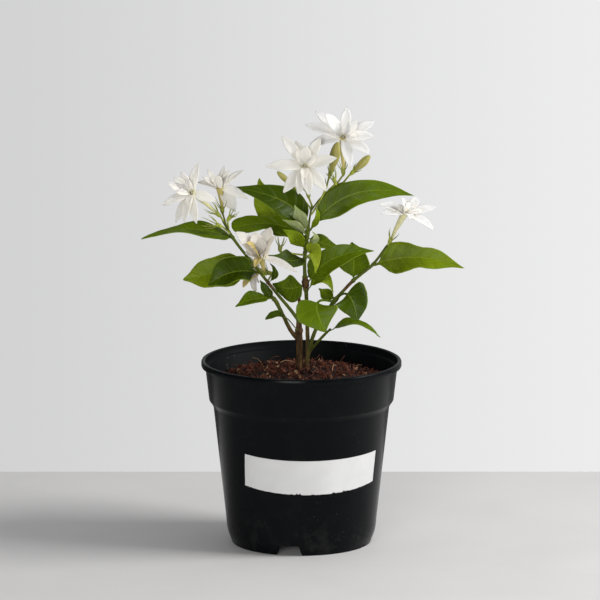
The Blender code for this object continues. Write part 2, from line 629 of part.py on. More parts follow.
def petal_sections(start, tip, axis, width):
    """Sections of a petal that arches out of the throat and narrows to its tip."""
    outwards = tip - start
    outwards = (outwards - axis * outwards.dot(axis)).normalized()
    via = start.lerp(tip, 0.5) + axis * PETAL_ARCH
    line = curve_through(start, via, tip)
    sections = []
    for t, share in PETAL_SECTIONS:
        centre, direction = line(t)
        lift = axis - 0.35 * outwards
        lift = (lift - direction * lift.dot(direction)).normalized()
        side = direction.cross(lift)
        half_thickness = PETAL_THICKNESS / 2 * (1.1 - 0.5 * t)
        sections.append((centre, side, lift, share * width / 2, half_thickness))
    return sections


def petal_angles(tips, first, second):
    """Petal tips in order round the throat, with angles eased towards an even spacing."""
    ordered = sorted(tips, key=lambda tip: math.atan2(tip.dot(second), tip.dot(first)))
    angles = [math.atan2(tip.dot(second), tip.dot(first)) for tip in ordered]
    even = even_angles(len(tips))
    sine = sum(math.sin(angle - spot) for angle, spot in zip(angles, even))
    cosine = sum(math.cos(angle - spot) for angle, spot in zip(angles, even))
    drift = math.atan2(sine, cosine)
    eased = []
    for angle, spot in zip(angles, even):
        error = (angle - spot - drift + math.pi) % math.tau - math.pi
        eased.append(spot + drift + 0.5 * error)
    return ordered, eased


def make_corolla(flower):
    """A corolla is a tube that widens to its throat, with the petals grown from its mouth."""
    cup, centre, facing = Vector(flower.cup), Vector(flower.centre), Vector(flower.facing).normalized()
    length = (centre - cup).length
    bend = flower_bend(flower)
    tube = bent_line(cup, bend, centre)
    hint = (bend - cup).cross(facing).normalized()
    first, second = ring_frame(facing, hint)
    tips, angles = petal_angles([Vector(tip) for tip in flower.tips], first, second)
    borders = [(before + angle) / 2 for before, angle in zip([angles[-1] - math.tau] + angles, angles)]
    profile = [
        (0.1, TUBE_RADIUS), (CUP_DEPTH, TUBE_RADIUS), (0.55 * length, TUBE_MIDDLE_RADIUS),
        (length - 3.5, THROAT_RADIUS - 1.0), (length - 0.7, THROAT_RADIUS - 0.2),
        (length, THROAT_RADIUS), (length, THROAT_RADIUS - 0.7), (length - 3.0, TUBE_RADIUS + 0.2)]
    bm = bmesh.new()
    rings = []
    for along, radius in profile:
        point, direction = tube(along / length)
        rings.append(add_ring(bm, point, direction, hint, radius, borders))
    bands = join_rings(bm, rings)
    mouth = profile.index((length, THROAT_RADIUS)) - 1
    for face, tip in zip(bands[mouth], tips):
        start = face.calc_center_median()
        extrude_to(bm, face, petal_sections(start, centre + tip, facing, flower.petal_width))
    smooth(object_from_bmesh(f"corolla_{flower.number}", bm, "petal_white"), 50)


def flower_bend(flower):
    """Where the tube would meet the line on which the flower faces."""
    centre = Vector(flower.centre)
    return centre - Vector(flower.facing).normalized() * 0.4 * (centre - Vector(flower.cup)).length


def make_calyx(number, route, height, cup, aim, lobe):
    """A flower stalk that ends in a small cup with awl-shaped lobes round its rim."""
    cup, aim = Vector(cup), Vector(aim)
    axis = (aim - cup).normalized()
    start = grow_point(route, height, cup, PEDICEL_RADIUS)
    via = start.lerp(cup, 0.5) - axis * 0.12 * (cup - start).length + UP * 0.4
    line = curve_through(start, via, cup - axis * 2.0)
    hint = Vector((0.3, 1, 0.2))
    bm = bmesh.new()
    rings = []
    for t in (0.0, 0.4, 0.75, 1.0):
        point, direction = line(t)
        rings.append(add_ring(bm, point, direction, hint, PEDICEL_RADIUS, even_angles(CUP_SIDES)))
    for along, radius in (
            (-0.4, CUP_RADIUS * 0.8), (CUP_DEPTH - 0.5, CUP_RADIUS), (CUP_DEPTH, CUP_RADIUS),
            (CUP_DEPTH, CUP_RECESS_RADIUS), (-0.2, CUP_RECESS_RADIUS - 0.05)):
        rings.append(add_ring(bm, cup + axis * along, axis, hint, radius, even_angles(CUP_SIDES)))
    bands = join_rings(bm, rings)
    for index, face in enumerate(bands[5]):
        base = face.calc_center_median()
        outwards = base - cup
        outwards = (outwards - axis * outwards.dot(axis)).normalized()
        side = outwards.cross(axis)
        reach = lobe * (1 - 0.12 * (index % 3))
        near = base + outwards * 0.5 + axis * 0.5
        far = base + outwards * (0.3 + 0.42 * reach) + axis * 0.9 * reach
        lift = (axis - outwards).normalized()
        tip_lift = (0.42 * axis - 0.9 * outwards).normalized()
        extrude_to(bm, face, [(near, side, lift, 0.4, 0.3), (far, side, tip_lift, 0.15, 0.15)])
    smooth(object_from_bmesh(f"calyx_{number}", bm, "calyx_green"), 50)


def make_bud(bud):
    """A closed bud: a spindle that is seated in its cup."""
    cup, tip = Vector(bud.cup), Vector(bud.tip)
    axis = (tip - cup).normalized()
    length = (tip - cup).length
    profile = [
        (0.1, TUBE_RADIUS), (CUP_DEPTH, TUBE_RADIUS), (0.35 * length, bud.radius * 0.7),
        (0.6 * length, bud.radius), (0.82 * length, bud.radius * 0.7), (length, TIP_HALF_WIDTH)]
    bm = bmesh.new()
    hint = Vector((0.2, 1, 0))
    rings = [
        add_ring(bm, cup + axis * along, axis, hint, radius, even_angles(BUD_SIDES))
        for along, radius in profile]
    join_rings(bm, rings)
    smooth(object_from_bmesh(f"bud_{bud.number}", bm, "bud_yellow_green"), 60)


def make_flowers():
    for flower in FLOWERS:
        aim = flower_bend(flower)
        make_calyx(flower.number, flower.route, flower.height, flower.cup, aim, flower.lobe)
        make_corolla(flower)
    for bud in BUDS:
        make_calyx(bud.number, bud.route, bud.height, bud.cup, bud.tip, bud.lobe)
        make_bud(bud)
    for spent in SPENT_CUPS:
        make_calyx(spent.number, spent.route, spent.height, spent.cup, spent.aim, spent.lobe)


def main():
    for old in list(bpy.data.objects):
        bpy.data.objects.remove(old, do_unlink=True)
    make_pot()
    make_label()
    make_mix()
    make_stems()
    for leaf in LEAVES:
        make_leaf(leaf)
    make_flowers()


main()
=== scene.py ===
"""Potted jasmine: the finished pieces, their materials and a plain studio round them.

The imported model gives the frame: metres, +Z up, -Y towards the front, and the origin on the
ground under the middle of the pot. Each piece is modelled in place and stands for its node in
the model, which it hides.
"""
import math
import random
from collections import namedtuple
from contextlib import contextmanager

import bmesh
import bpy
from mathutils import Euler, Matrix, Vector, noise


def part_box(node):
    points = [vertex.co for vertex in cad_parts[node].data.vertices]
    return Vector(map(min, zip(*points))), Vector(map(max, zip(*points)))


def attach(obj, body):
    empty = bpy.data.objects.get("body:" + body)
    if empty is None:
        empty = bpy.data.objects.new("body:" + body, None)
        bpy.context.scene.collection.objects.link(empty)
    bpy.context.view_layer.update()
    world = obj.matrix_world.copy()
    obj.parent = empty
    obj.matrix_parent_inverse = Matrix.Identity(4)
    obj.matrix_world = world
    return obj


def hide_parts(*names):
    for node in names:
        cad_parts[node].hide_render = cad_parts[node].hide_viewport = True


bl_info = {
    "name": "Potted Jasmine",
    "version": (1, 0, 0),
    "blender": (4, 5, 0),
    "location": "3D View > Sidebar > Jasmine",
    "description": "Builds a potted jasmine in flower, piece by piece",
    "category": "Add Mesh",
}

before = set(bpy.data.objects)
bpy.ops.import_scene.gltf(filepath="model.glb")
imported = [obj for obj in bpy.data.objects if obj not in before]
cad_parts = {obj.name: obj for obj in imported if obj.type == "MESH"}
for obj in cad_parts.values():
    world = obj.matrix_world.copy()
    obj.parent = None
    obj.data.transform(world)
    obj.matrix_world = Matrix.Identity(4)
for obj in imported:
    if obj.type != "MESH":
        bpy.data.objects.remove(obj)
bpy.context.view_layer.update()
POT_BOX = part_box("pot")
BODY = "root"
MM = 0.001
UP = Vector((0, 0, 1))


# Blender's tools, used as by hand

def work_on(*pieces):
    """Select only these pieces, in object mode; the last one is active."""
    if bpy.context.object and bpy.context.object.mode != "OBJECT":
        bpy.ops.object.mode_set(mode="OBJECT")
    bpy.ops.object.select_all(action="DESELECT")
    for piece in pieces:
        piece.select_set(True)
    bpy.context.view_layer.objects.active = pieces[-1]


@contextmanager
def editing(piece):
    """Edit mode on one piece, with nothing selected."""
    work_on(piece)
    bpy.ops.object.mode_set(mode="EDIT")
    bpy.ops.mesh.select_mode(type="VERT")
    bpy.ops.mesh.select_all(action="DESELECT")
    yield
    bpy.ops.object.mode_set(mode="OBJECT")


def choose(test):
    """In edit mode, select the vertices whose position passes the test."""
    mesh = bmesh.from_edit_mesh(bpy.context.object.data)
    for vert in mesh.verts:
        vert.select = test(vert.co)
    mesh.select_flush_mode()


def finish_with(piece, kind, **settings):
    """Add a modifier to a piece and apply it."""
    work_on(piece)
    modifier = piece.modifiers.new(kind.title(), kind)
    for name, value in settings.items():
        setattr(modifier, name, value)
    bpy.ops.object.modifier_apply(modifier=modifier.name)


def reshape(size, move=(0, 0, 0)):
    """In edit mode, scale the whole mesh about the origin, then move it."""
    bpy.ops.mesh.select_all(action="SELECT")
    bpy.ops.transform.resize(value=size, center_override=(0, 0, 0))
    bpy.ops.transform.translate(value=move)


def ruffle(piece, group, size, depth, octaves=2, **settings):
    """Raise and sink a vertex group by clouds of a size."""
    clouds = bpy.data.textures.new(group, "CLOUDS")
    clouds.noise_scale = size
    clouds.noise_depth = octaves
    finish_with(
        piece, "DISPLACE", texture=clouds, strength=depth, vertex_group=group,
        texture_coords="LOCAL", **settings)


def mark(piece, name, values):
    """Store a number at each vertex, which a material can read."""
    piece.data.attributes.new(name, "FLOAT", "POINT").data.foreach_set("value", values)


def named(piece, name):
    """Give an object and its data one name."""
    piece.name = name
    piece.data.name = name
    return piece


def copy_of(piece, name):
    """A copy with its own mesh."""
    made = piece.copy()
    made.data = piece.data.copy()
    bpy.context.collection.objects.link(made)
    return named(made, name)


def join(pieces, name):
    """Join pieces into the first of them."""
    if len(pieces) > 1:
        work_on(*pieces[1:], pieces[0])
        bpy.ops.object.join()
    return named(pieces[0], name)


def drop(*pieces):
    """Remove objects that aren't needed any more."""
    for piece in pieces:
        bpy.data.objects.remove(piece, do_unlink=True)


def settle(piece):
    """Move an object's place into its mesh."""
    work_on(piece)
    bpy.ops.object.transform_apply(location=True, rotation=True, scale=True)


def stand(piece, spot, direction):
    """Put an object at a spot, with its Z axis along a direction."""
    piece.rotation_mode = "QUATERNION"
    piece.rotation_quaternion = direction.to_track_quat("Z", "Y")
    piece.location = spot
    settle(piece)
    return piece


def tidy_surface(piece, angle=None):
    """Merge doubled points, turn all faces outwards and shade the piece smooth."""
    with editing(piece):
        bpy.ops.mesh.select_all(action="SELECT")
        bpy.ops.mesh.remove_doubles(threshold=1e-6)
        bpy.ops.mesh.normals_make_consistent(inside=False)
    shade(piece, angle)


def shade(piece, angle=None):
    """Shade a piece smooth, up to an angle in degrees if one is given."""
    work_on(piece)
    if angle is None:
        bpy.ops.object.shade_smooth()
    else:
        bpy.ops.object.shade_smooth_by_angle(angle=math.radians(angle))


def turned(name, profile, steps, axis="Z"):
    """A shape turned on a lathe: profile is radius and place along the axis, point by point."""
    places = [Vector((r, 0, a)) if axis == "Z" else Vector((a, 0, r)) for r, a in profile]
    bpy.ops.mesh.primitive_plane_add(size=MM)
    piece = named(bpy.context.object, name)
    with editing(piece):
        bpy.ops.mesh.select_all(action="SELECT")
        bpy.ops.mesh.merge(type="CENTER")
        bpy.ops.transform.translate(value=places[0])
        for before, after in zip(places, places[1:]):
            bpy.ops.mesh.extrude_region_move(TRANSFORM_OT_translate={"value": after - before})
        bpy.ops.mesh.select_all(action="SELECT")
        bpy.ops.mesh.spin(
            steps=steps, angle=math.tau, center=(0, 0, 0),
            axis=(0, 0, 1) if axis == "Z" else (1, 0, 0))
    tidy_surface(piece)
    return piece


def cut(piece, cutters):
    """Cut the shapes of the cutters out of a piece."""
    for cutter in cutters:
        finish_with(piece, "BOOLEAN", operation="DIFFERENCE", solver="EXACT", object=cutter)
    drop(*cutters)


def paint(piece, *finishes):
    """Give a piece its materials, one for each slot."""
    piece.data.materials.clear()
    for finish in finishes:
        piece.data.materials.append(finish)


def place(piece, slot, *nodes, angle=None):
    """The finished piece is shaded, rides on the part and stands for its nodes, which it hides; slot is not
    used.
    """
    shade(piece, angle)
    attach(piece, BODY)
    if nodes:
        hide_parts(*nodes)


# Lines that pieces follow

def bent_line(start, via, end):
    """A quadratic curve from start to end that passes via half way: point and direction at t."""
    start, via, end = Vector(start), Vector(via), Vector(end)
    control = 2 * via - (start + end) / 2

    def at(t):
        point = (1 - t) ** 2 * start + 2 * t * (1 - t) * control + t ** 2 * end
        return point, ((1 - t) * (control - start) + t * (end - control)).normalized()
    return at


def drawn_line(start, control, end):
    """A quadratic curve from start to end that is drawn towards control."""
    start, control, end = Vector(start), Vector(control), Vector(end)
    return bent_line(start, (start + 2 * control + end) / 4, end)


def smooth_route(points, step):
    """Points along a smooth curve through a route, each as position and radius."""
    ends = [points[0]] + list(points) + [points[-1]]
    line = []
    for before, first, second, after in zip(ends, ends[1:], ends[2:], ends[3:]):
        count = max(1, round((Vector(second[:3]) - Vector(first[:3])).length / step))
        for i in range(count):
            t = i / count
            line.append([
                0.5 * (2 * b + (c - a) * t + (2 * a - 5 * b + 4 * c - d) * t ** 2
                       + (3 * b - a - 3 * c + d) * t ** 3)
                for a, b, c, d in zip(before, first, second, after)])
    line.append(list(points[-1]))
    return [(Vector(point[:3]), point[3]) for point in line]


def across(direction, facing):
    """The sideways and upward directions of something that runs along direction and faces facing."""
    side = facing.cross(direction).normalized()
    return side, direction.cross(side)


def bend_along(piece, line, facing, width=1.0, fold=0.0, wave=None, margin=None, stations=9):
    """Bend a straight piece, drawn along X from 0, to a line, with a lattice.

    width scales it sideways, fold lifts both its edges by an angle in degrees, wave(t, side)
    gives how far an edge is lifted at t, and margin(t, side) how much wider that edge is.
    """
    low = [min(vert.co[i] for vert in piece.data.vertices) for i in range(3)]
    high = [max(vert.co[i] for vert in piece.data.vertices) for i in range(3)]
    half = max(-low[1], high[1], MM)
    thick = max(-low[2], high[2], MM)
    bpy.ops.object.add(type="LATTICE", location=((low[0] + high[0]) / 2, 0, 0))
    cage = bpy.context.object
    cage.scale = (high[0] - low[0], 2 * half, 2 * thick)
    net = cage.data
    net.points_u, net.points_v, net.points_w = stations, 3, 2
    net.interpolation_type_u = "KEY_CATMULL_ROM"
    net.interpolation_type_v = "KEY_CATMULL_ROM"
    net.interpolation_type_w = "KEY_LINEAR"
    bpy.context.view_layer.update()
    to_cage = cage.matrix_world.inverted()
    index = 0
    for upper in (-1, 1):
        for sideways in (-1, 0, 1):
            for station in range(stations):
                t = station / (stations - 1)
                point, direction = line(t)
                side, face = across(direction, facing)
                angle = math.radians(fold) * math.sin(math.pi * t) * abs(sideways)
                lift = wave(t, sideways) if wave and sideways else 0.0
                reach = sideways * half * width * (margin(t, sideways) if margin else 1.0)
                spot = point + side * reach * math.cos(angle)
                spot += face * (abs(reach) * math.sin(angle) + lift + upper * thick)
                net.points[index].co_deform = to_cage @ spot
                index += 1
    finish_with(piece, "LATTICE", object=cage)
    drop(cage)


# Materials

class Wire:
    """An output of a node. Python's operators on it add Math nodes."""

    def __init__(self, nodes, socket):
        self.nodes = nodes
        self.socket = socket

    def maths(self, operation, *values):
        """A Math node on values or wires."""
        return self.nodes.node("ShaderNodeMath", {"operation": operation}, dict(enumerate(values)))

    def __add__(self, other):
        return self.maths("ADD", self, other)

    __radd__ = __add__

    def __sub__(self, other):
        return self.maths("SUBTRACT", self, other)

    def __rsub__(self, other):
        return self.maths("SUBTRACT", other, self)

    def __mul__(self, other):
        return self.maths("MULTIPLY", self, other)

    __rmul__ = __mul__

    def __mod__(self, other):
        return self.maths("FLOORED_MODULO", self, other)

    def __abs__(self):
        return self.maths("ABSOLUTE", self)

    def between(self, low, high):
        """0 below low and 1 above high, with a soft step from one to the other."""
        return self.nodes.node(
            "ShaderNodeMapRange", {"interpolation_type": "SMOOTHSTEP"},
            {"Value": self, "From Min": low, "From Max": high})


class Nodes:
    """A node tree that is built up node by node."""

    def __init__(self, tree):
        self.tree = tree

    def node(self, kind, settings, values, output=0):
        """Add a node: its settings are set first, then the values or links of its sockets."""
        made = self.tree.nodes.new(kind)
        for name, value in settings.items():
            setattr(made, name, value)
        for key, value in values.items():
            self.join(value, made.inputs[key])
        return Wire(self, made.outputs[output])

    def join(self, value, socket):
        """Link a wire to a socket, or set the socket's value."""
        if isinstance(value, Wire):
            self.tree.links.new(value.socket, socket)
        elif hasattr(socket.default_value, "__len__") and len(socket.default_value) == 4:
            socket.default_value = (*value, 1)
        else:
            socket.default_value = value

    def axes(self, vector):
        """The x, y and z of a vector."""
        split = self.tree.nodes.new("ShaderNodeSeparateXYZ")
        self.join(vector, split.inputs[0])
        return [Wire(self, output) for output in split.outputs]

    def blend(self, share, first, second):
        """A mix of two colours."""
        return self.node(
            "ShaderNodeMix", {"data_type": "RGBA"}, {0: share, 6: first, 7: second}, 2)


class Finish(Nodes):
    """A Principled material."""

    def __init__(self, name, **constants):
        self.material = bpy.data.materials.new(name)
        self.material.use_nodes = True
        super().__init__(self.material.node_tree)
        self.shader = self.tree.nodes["Principled BSDF"]
        for socket, value in constants.items():
            self.set(socket.replace("_", " ").title().replace("Ior", "IOR"), value)

    def set(self, name, value):
        """Set or link one of the shader's sockets."""
        self.join(value, self.shader.inputs[name])

    def finished(self, colour, roughness, normal):
        """The material, once its three patterns are in place."""
        self.set("Base Color", colour)
        self.set("Roughness", roughness)
        self.set("Normal", normal)
        return self.material

    def places(self):
        """Object coordinates, in metres."""
        return self.node("ShaderNodeTexCoord", {}, {}, "Object")

    def own_map(self):
        """The piece's own UV map."""
        return self.node("ShaderNodeUVMap", {"uv_map": "UVMap"}, {})

    def uv(self):
        """The piece's own map, as along and across."""
        return self.axes(self.own_map())[:2]

    def height(self):
        """Height above the ground in millimetres."""
        return self.axes(self.places())[2] * 1000

    def stretched(self, *scale):
        """Object coordinates drawn out along an axis."""
        return self.node(
            "ShaderNodeMapping", {"vector_type": "POINT"}, {"Vector": self.places(), "Scale": scale})

    def noise(self, scale, detail=3.0, rough=0.55, where=None):
        """Cloudy noise from 0 to 1; scale is in blobs a metre."""
        return self.node(
            "ShaderNodeTexNoise", {},
            {"Vector": where or self.places(), "Scale": scale, "Detail": detail, "Roughness": rough})

    def specks(self, scale, size, where=None):
        """1 in small round specks, 0 elsewhere."""
        distance = self.node(
            "ShaderNodeTexVoronoi", {}, {"Vector": where or self.places(), "Scale": scale}, "Distance")
        return 1 - distance.between(size * 0.5, size)

    def attribute(self, name):
        """A number that is stored at each vertex."""
        return self.node("ShaderNodeAttribute", {"attribute_name": name}, {}, "Fac")

    def bumps(self, height, depth, strength=1.0, normal=None):
        """Relief of a depth in metres."""
        values = {"Strength": strength, "Distance": depth, "Height": height}
        if normal:
            values["Normal"] = normal
        return self.node("ShaderNodeBump", {}, values)


def times(colour, share):
    """A darker or a lighter tone of a colour."""
    return [min(1, channel * share) for channel in colour]


def black_plastic(name, colour, gloss, crumbs):
    """Satin moulded plastic with scuffs, crumbs of dust, and a dull film near the foot."""
    made = Finish(name, specular_ior_level=0.07)
    cloud = made.noise(45, 4)
    grain = made.noise(1400, 2)
    height = made.height()
    dust = made.specks(260, 0.09 + 0.07 * crumbs) * made.noise(30, 2).between(0.48, 0.66)
    low = 1 - height.between(6, 26)
    film = made.noise(120, 5).between(0.45, 0.75) * (low * 0.55 + 0.10)
    dirty = made.blend(film * 0.5, colour, (0.030, 0.029, 0.026))
    dusty = made.blend(dust * (0.5 + 0.4 * crumbs), dirty, (0.16, 0.155, 0.14))
    scuffs = made.noise(160, 6, 0.7, made.stretched(1, 1, 0.25))
    relief = made.bumps(grain, 0.00004, 0.5)
    return made.finished(
        dusty, cloud * 0.16 + gloss + film * 0.3, made.bumps(scuffs, 0.00012, 0.35, relief))


def bare_paper(colour):
    """Bare, slightly grubby paper with fibres."""
    made = Finish("label paper", specular_ior_level=0.3)
    cloud = made.noise(60, 5)
    fibres = made.noise(900, 4, 0.7, made.stretched(0.35, 1, 1))
    marks = made.specks(220, 0.10) * made.noise(50, 2).between(0.55, 0.7)
    base = made.blend(cloud.between(0.35, 0.75) * 0.35, colour, times(colour, 0.82))
    marked = made.blend(marks * 0.5, base, (0.28, 0.27, 0.25))
    return made.finished(marked, fibres * 0.2 + 0.62, made.bumps(fibres, 0.00006, 0.6))


def coir(dark, red, straw):
    """Chips of coir and bark: each has its own tone, from nearly black to straw."""
    made = Finish("coir mix", specular_ior_level=0.2)
    tone = made.attribute("tone")
    grain = made.noise(900, 5, 0.7)
    redder = made.blend(tone.between(0.05, 0.55), dark, red)
    paler = made.blend(tone.between(0.93, 1.0), redder, straw)
    grainy = made.blend(grain.between(0.35, 0.8) * 0.55, paler, times(red, 0.35))
    return made.finished(grainy, grain * 0.3 + 0.6, made.bumps(grain, 0.0005, 0.8))


def bark(brown, green):
    """Fissured brown bark near the ground that turns into smooth green shoots."""
    made = Finish("bark", specular_ior_level=0.14)
    height = made.height()
    cloud = made.noise(70, 4)
    fissures = made.noise(420, 6, 0.7, made.stretched(1, 1, 0.22))
    fine = made.noise(1500, 3, 0.6, made.stretched(1, 1, 0.4))
    woody = made.attribute("woody")
    ring = 1 - abs(height - NODE_HEIGHT).between(1.5, 5.0)
    brownness = woody + ring * 0.55
    dark = made.blend(fissures.between(0.42, 0.62), times(brown, 0.35), brown)
    pale = made.blend(fine.between(0.62, 0.8) * 0.5, dark, times(brown, 2.1))
    shoot = made.blend(cloud.between(0.4, 0.7), green, times(green, 0.55))
    tinted = made.blend(fine.between(0.55, 0.75) * 0.35, shoot, brown)
    return made.finished(
        made.blend(brownness.between(0.25, 0.8), tinted, pale), fissures * 0.3 + 0.42,
        made.bumps(fissures, 0.0006, 0.7))


# Side veins along a leaf, and how far each one runs forward on its way to the margin
SIDE_VEINS = 7.5
VEIN_SLANT = 1.15


def leaf_skin(name, colour, vein, gloss, through):
    """A leaf's face: a pale midrib and side veins, drawn along the leaf's own map."""
    made = Finish(
        name, subsurface_weight=through, subsurface_radius=(0.0015, 0.002, 0.0006),
        subsurface_scale=0.6, specular_ior_level=0.11)
    along, sideways = made.uv()
    off = abs(sideways - 0.5) * 2
    midrib = 1 - off.between(0.015, 0.060)
    slant = (along * SIDE_VEINS - off * VEIN_SLANT + made.noise(40, 1) * 0.12) % 1
    side_vein = (1 - abs(slant - 0.5).between(0.03, 0.13)) * (1 - off.between(0.7, 0.98))
    net = made.node(
        "ShaderNodeTexVoronoi", {"feature": "DISTANCE_TO_EDGE"},
        {"Vector": made.places(), "Scale": 520.0}, "Distance")
    cloud = made.noise(55, 4)
    blade = made.blend(cloud.between(0.35, 0.7), colour, times(colour, 0.62))
    blotches = made.noise(300, 3).between(0.55, 0.75)
    blotched = made.blend(blotches * 0.4, blade, times(colour, 1.25))
    tipped = made.blend(along.between(0.35, 0.95) * 0.7, blotched, times(colour, 1.35))
    veined = made.blend(side_vein * 0.08, tipped, vein)
    # A paler band along the margin, in the vein colour: partly the leaf's pale margin line, partly painted
    # backlit rim glow.
    with_rim_glow = made.blend(off.between(0.88, 1.0) * 0.5, veined, vein)
    quilt = made.bumps(side_vein, -0.0003, 0.5)
    cells = made.bumps(net.between(0.0, 0.25), 0.00012, 0.35, quilt)
    return made.finished(made.blend(midrib * 0.40, with_rim_glow, vein), cloud * 0.18 + gloss, cells)


def petal_skin(name, colour, throat):
    """A petal: fine lengthwise veins, cream yellow in the throat and a dry tip."""
    made = Finish(
        name, subsurface_weight=0.5, subsurface_radius=(0.004, 0.0036, 0.0028),
        subsurface_scale=0.8, specular_ior_level=0.3)
    along = made.uv()[0]
    lines = made.node("ShaderNodeTexWave", {"wave_type": "BANDS", "bands_direction": "Y"}, {
        "Vector": made.own_map(), "Scale": 3.2, "Distortion": 1.2, "Detail": 1.0})
    cloud = made.noise(120, 3)
    base = made.blend(cloud.between(0.4, 0.75) * 0.5, colour, times(colour, 0.93))
    veined = made.blend(lines.between(0.72, 1.0) * 0.16, base, times(colour, 0.88))
    dry = made.blend(along.between(0.93, 1.0) * 0.45, veined, (0.50, 0.42, 0.26))
    return made.finished(
        made.blend((1 - along.between(0.0, 0.20)) * 0.8, dry, throat), cloud * 0.15 + 0.5,
        made.bumps(lines, -0.00005, 0.3))


def tube_skin(name, colour, base):
    """A tube or a bud: one colour at the cup that turns into another, with soft streaks."""
    made = Finish(
        name, subsurface_weight=0.3, subsurface_radius=(0.003, 0.0026, 0.0015),
        subsurface_scale=0.8)
    streaks = made.noise(60, 3, 0.6)
    ripe = (made.uv()[0] + streaks * 0.25).between(0.25, 0.95)
    return made.finished(
        made.blend(ripe, base, colour), streaks * 0.2 + 0.4,
        made.bumps(made.noise(700, 2), 0.00008, 0.5))


def green_skin(colour):
    """Cups, lobes and flower stalks: fresh green with paler streaks."""
    made = Finish(
        "calyx", subsurface_weight=0.15, subsurface_radius=(0.001, 0.0014, 0.0004),
        subsurface_scale=0.6)
    streaks = made.noise(260, 4, 0.6, made.stretched(1, 1, 0.3))
    cloud = made.noise(90, 2)
    mixed = made.blend(streaks.between(0.42, 0.68), colour, times(colour, 2.0))
    shaded = made.blend(cloud.between(0.5, 0.8) * 0.5, mixed, times(colour, 0.6))
    return made.finished(shaded, streaks * 0.2 + 0.42, made.bumps(streaks, 0.0002, 0.6))


def table_skin(colour):
    """A plain pale floor with the faintest mottling."""
    made = Finish("table", specular_ior_level=0.25)
    cloud = made.noise(9, 5)
    grain = made.noise(400, 3)
    mottled = made.blend(cloud.between(0.3, 0.75) * 0.5, colour, times(colour, 0.9))
    return made.finished(mottled, grain * 0.15 + 0.55, made.bumps(grain, 0.0001, 0.2))


# What a user may change

def size_of(name, description, default):
    """A length that a user may change."""
    return bpy.props.FloatProperty(
        name=name, description=description, default=default, min=0.0, subtype="DISTANCE", unit="LENGTH")


def colour_of(name, description, default):
    """A colour that a user may change."""
    return bpy.props.FloatVectorProperty(
        name=name, description=description, default=default, min=0.0, max=1.0, subtype="COLOR")


def count_of(name, description, default, least=0):
    """A whole number that a user may change."""
    return bpy.props.IntProperty(name=name, description=description, default=default, min=least)


def power_of(name, description, default):
    """The power of a light."""
    return bpy.props.FloatProperty(name=name, description=description, default=default, min=0.0)


class PotSettings(bpy.types.PropertyGroup):
    height: size_of("Height", "From the ground to the rim", POT_BOX[1][2])
    rim_radius: size_of("Rim radius", "Outside the rolled rim", POT_BOX[1][1])
    wall: size_of("Wall", "Thickness of the moulded wall", 0.0018)
    sides: count_of("Sides", "Facets round the pot", 144, least=24)
    colour: colour_of("Colour", "The plastic's own colour", (0.0024, 0.0031, 0.0036))


class LabelSettings(bpy.types.PropertyGroup):
    top: size_of("Top", "Height of the upper edge at the label's middle", 0.0645)
    bottom: size_of("Bottom", "Height of the lower edge at the label's middle", 0.0417)
    thickness: size_of("Thickness", "Thickness of the paper", 0.00028)
    colour: colour_of("Colour", "The bare paper", (0.64, 0.64, 0.63))


class MixSettings(bpy.types.PropertyGroup):
    middle: size_of("Middle", "Height of the mound at the stems", 0.1145)
    edge: size_of("Edge", "Height of the mix at the pot's wall", 0.1048)
    chips: count_of("Chips", "Loose chips on the surface", 1500)
    fibres: count_of("Fibres", "Loose pale fibres", 170)
    seed: count_of("Seed", "Changes how the chips lie", 4)
    dark: colour_of("Dark", "Damp chips", (0.014, 0.0045, 0.0030))
    red: colour_of("Red", "Reddish coir", (0.105, 0.030, 0.015))
    straw: colour_of("Straw", "Dry fibres", (0.42, 0.25, 0.13))


class StemSettings(bpy.types.PropertyGroup):
    grain: size_of("Grain", "How finely the bark is modelled", 0.00034)
    brown: colour_of("Brown", "Old bark", (0.110, 0.060, 0.021))
    green: colour_of("Green", "Young shoots", (0.080, 0.110, 0.009))


class LeafSettings(bpy.types.PropertyGroup):
    thickness: size_of("Thickness", "Thickness of a blade", 0.0004)
    # The dark and bright leaf colours are painted light: dark is painted shade on leaves in shadow, bright
    # is painted backlight on leaves with light behind them.
    dark: colour_of("Dark", "Shaded mature leaves", (0.039, 0.068, 0.001))
    mid: colour_of("Green", "Mature leaves", (0.082, 0.131, 0.001))
    bright: colour_of("Bright", "Young leaves with light behind them", (0.135, 0.190, 0.002))
    young: colour_of("Young", "Yellow-green young leaves", (0.250, 0.310, 0.015))
    underside: colour_of("Underside", "Pale undersides", (0.290, 0.340, 0.150))
    vein: colour_of("Vein", "Midribs and side veins", (0.230, 0.310, 0.025))


class FlowerSettings(bpy.types.PropertyGroup):
    petal_thickness: size_of("Petal thickness", "Thickness of a petal", 0.00032)
    # White and cream are partly the petals' age and partly painted light: white carries painted backlight,
    # cream carries painted shade.
    white: colour_of("White", "Petals that have just opened", (0.95, 0.92, 0.85))
    cream: colour_of("Cream", "Petals that have been open longer", (0.865, 0.820, 0.715))
    fading: colour_of("Fading", "Petals past their best", (0.76, 0.70, 0.61))
    wilted: colour_of("Wilted", "Dry petals", (0.56, 0.43, 0.15))
    throat: colour_of("Throat", "Where the petals leave the tube", (0.86, 0.80, 0.56))
    cream_tube: colour_of("Pale tube", "The foot of a pale tube", (0.66, 0.63, 0.36))
    tube: colour_of("Deep tube", "The foot of a yellowed tube", (0.50, 0.42, 0.14))
    calyx: colour_of("Calyx", "Cups, lobes and flower stalks", (0.190, 0.215, 0.022))
    bud: colour_of("Bud", "The green foot of a closed bud", (0.36, 0.335, 0.085))
    bud_tip: colour_of("Bud tip", "The pale end of a closed bud", (0.80, 0.73, 0.47))


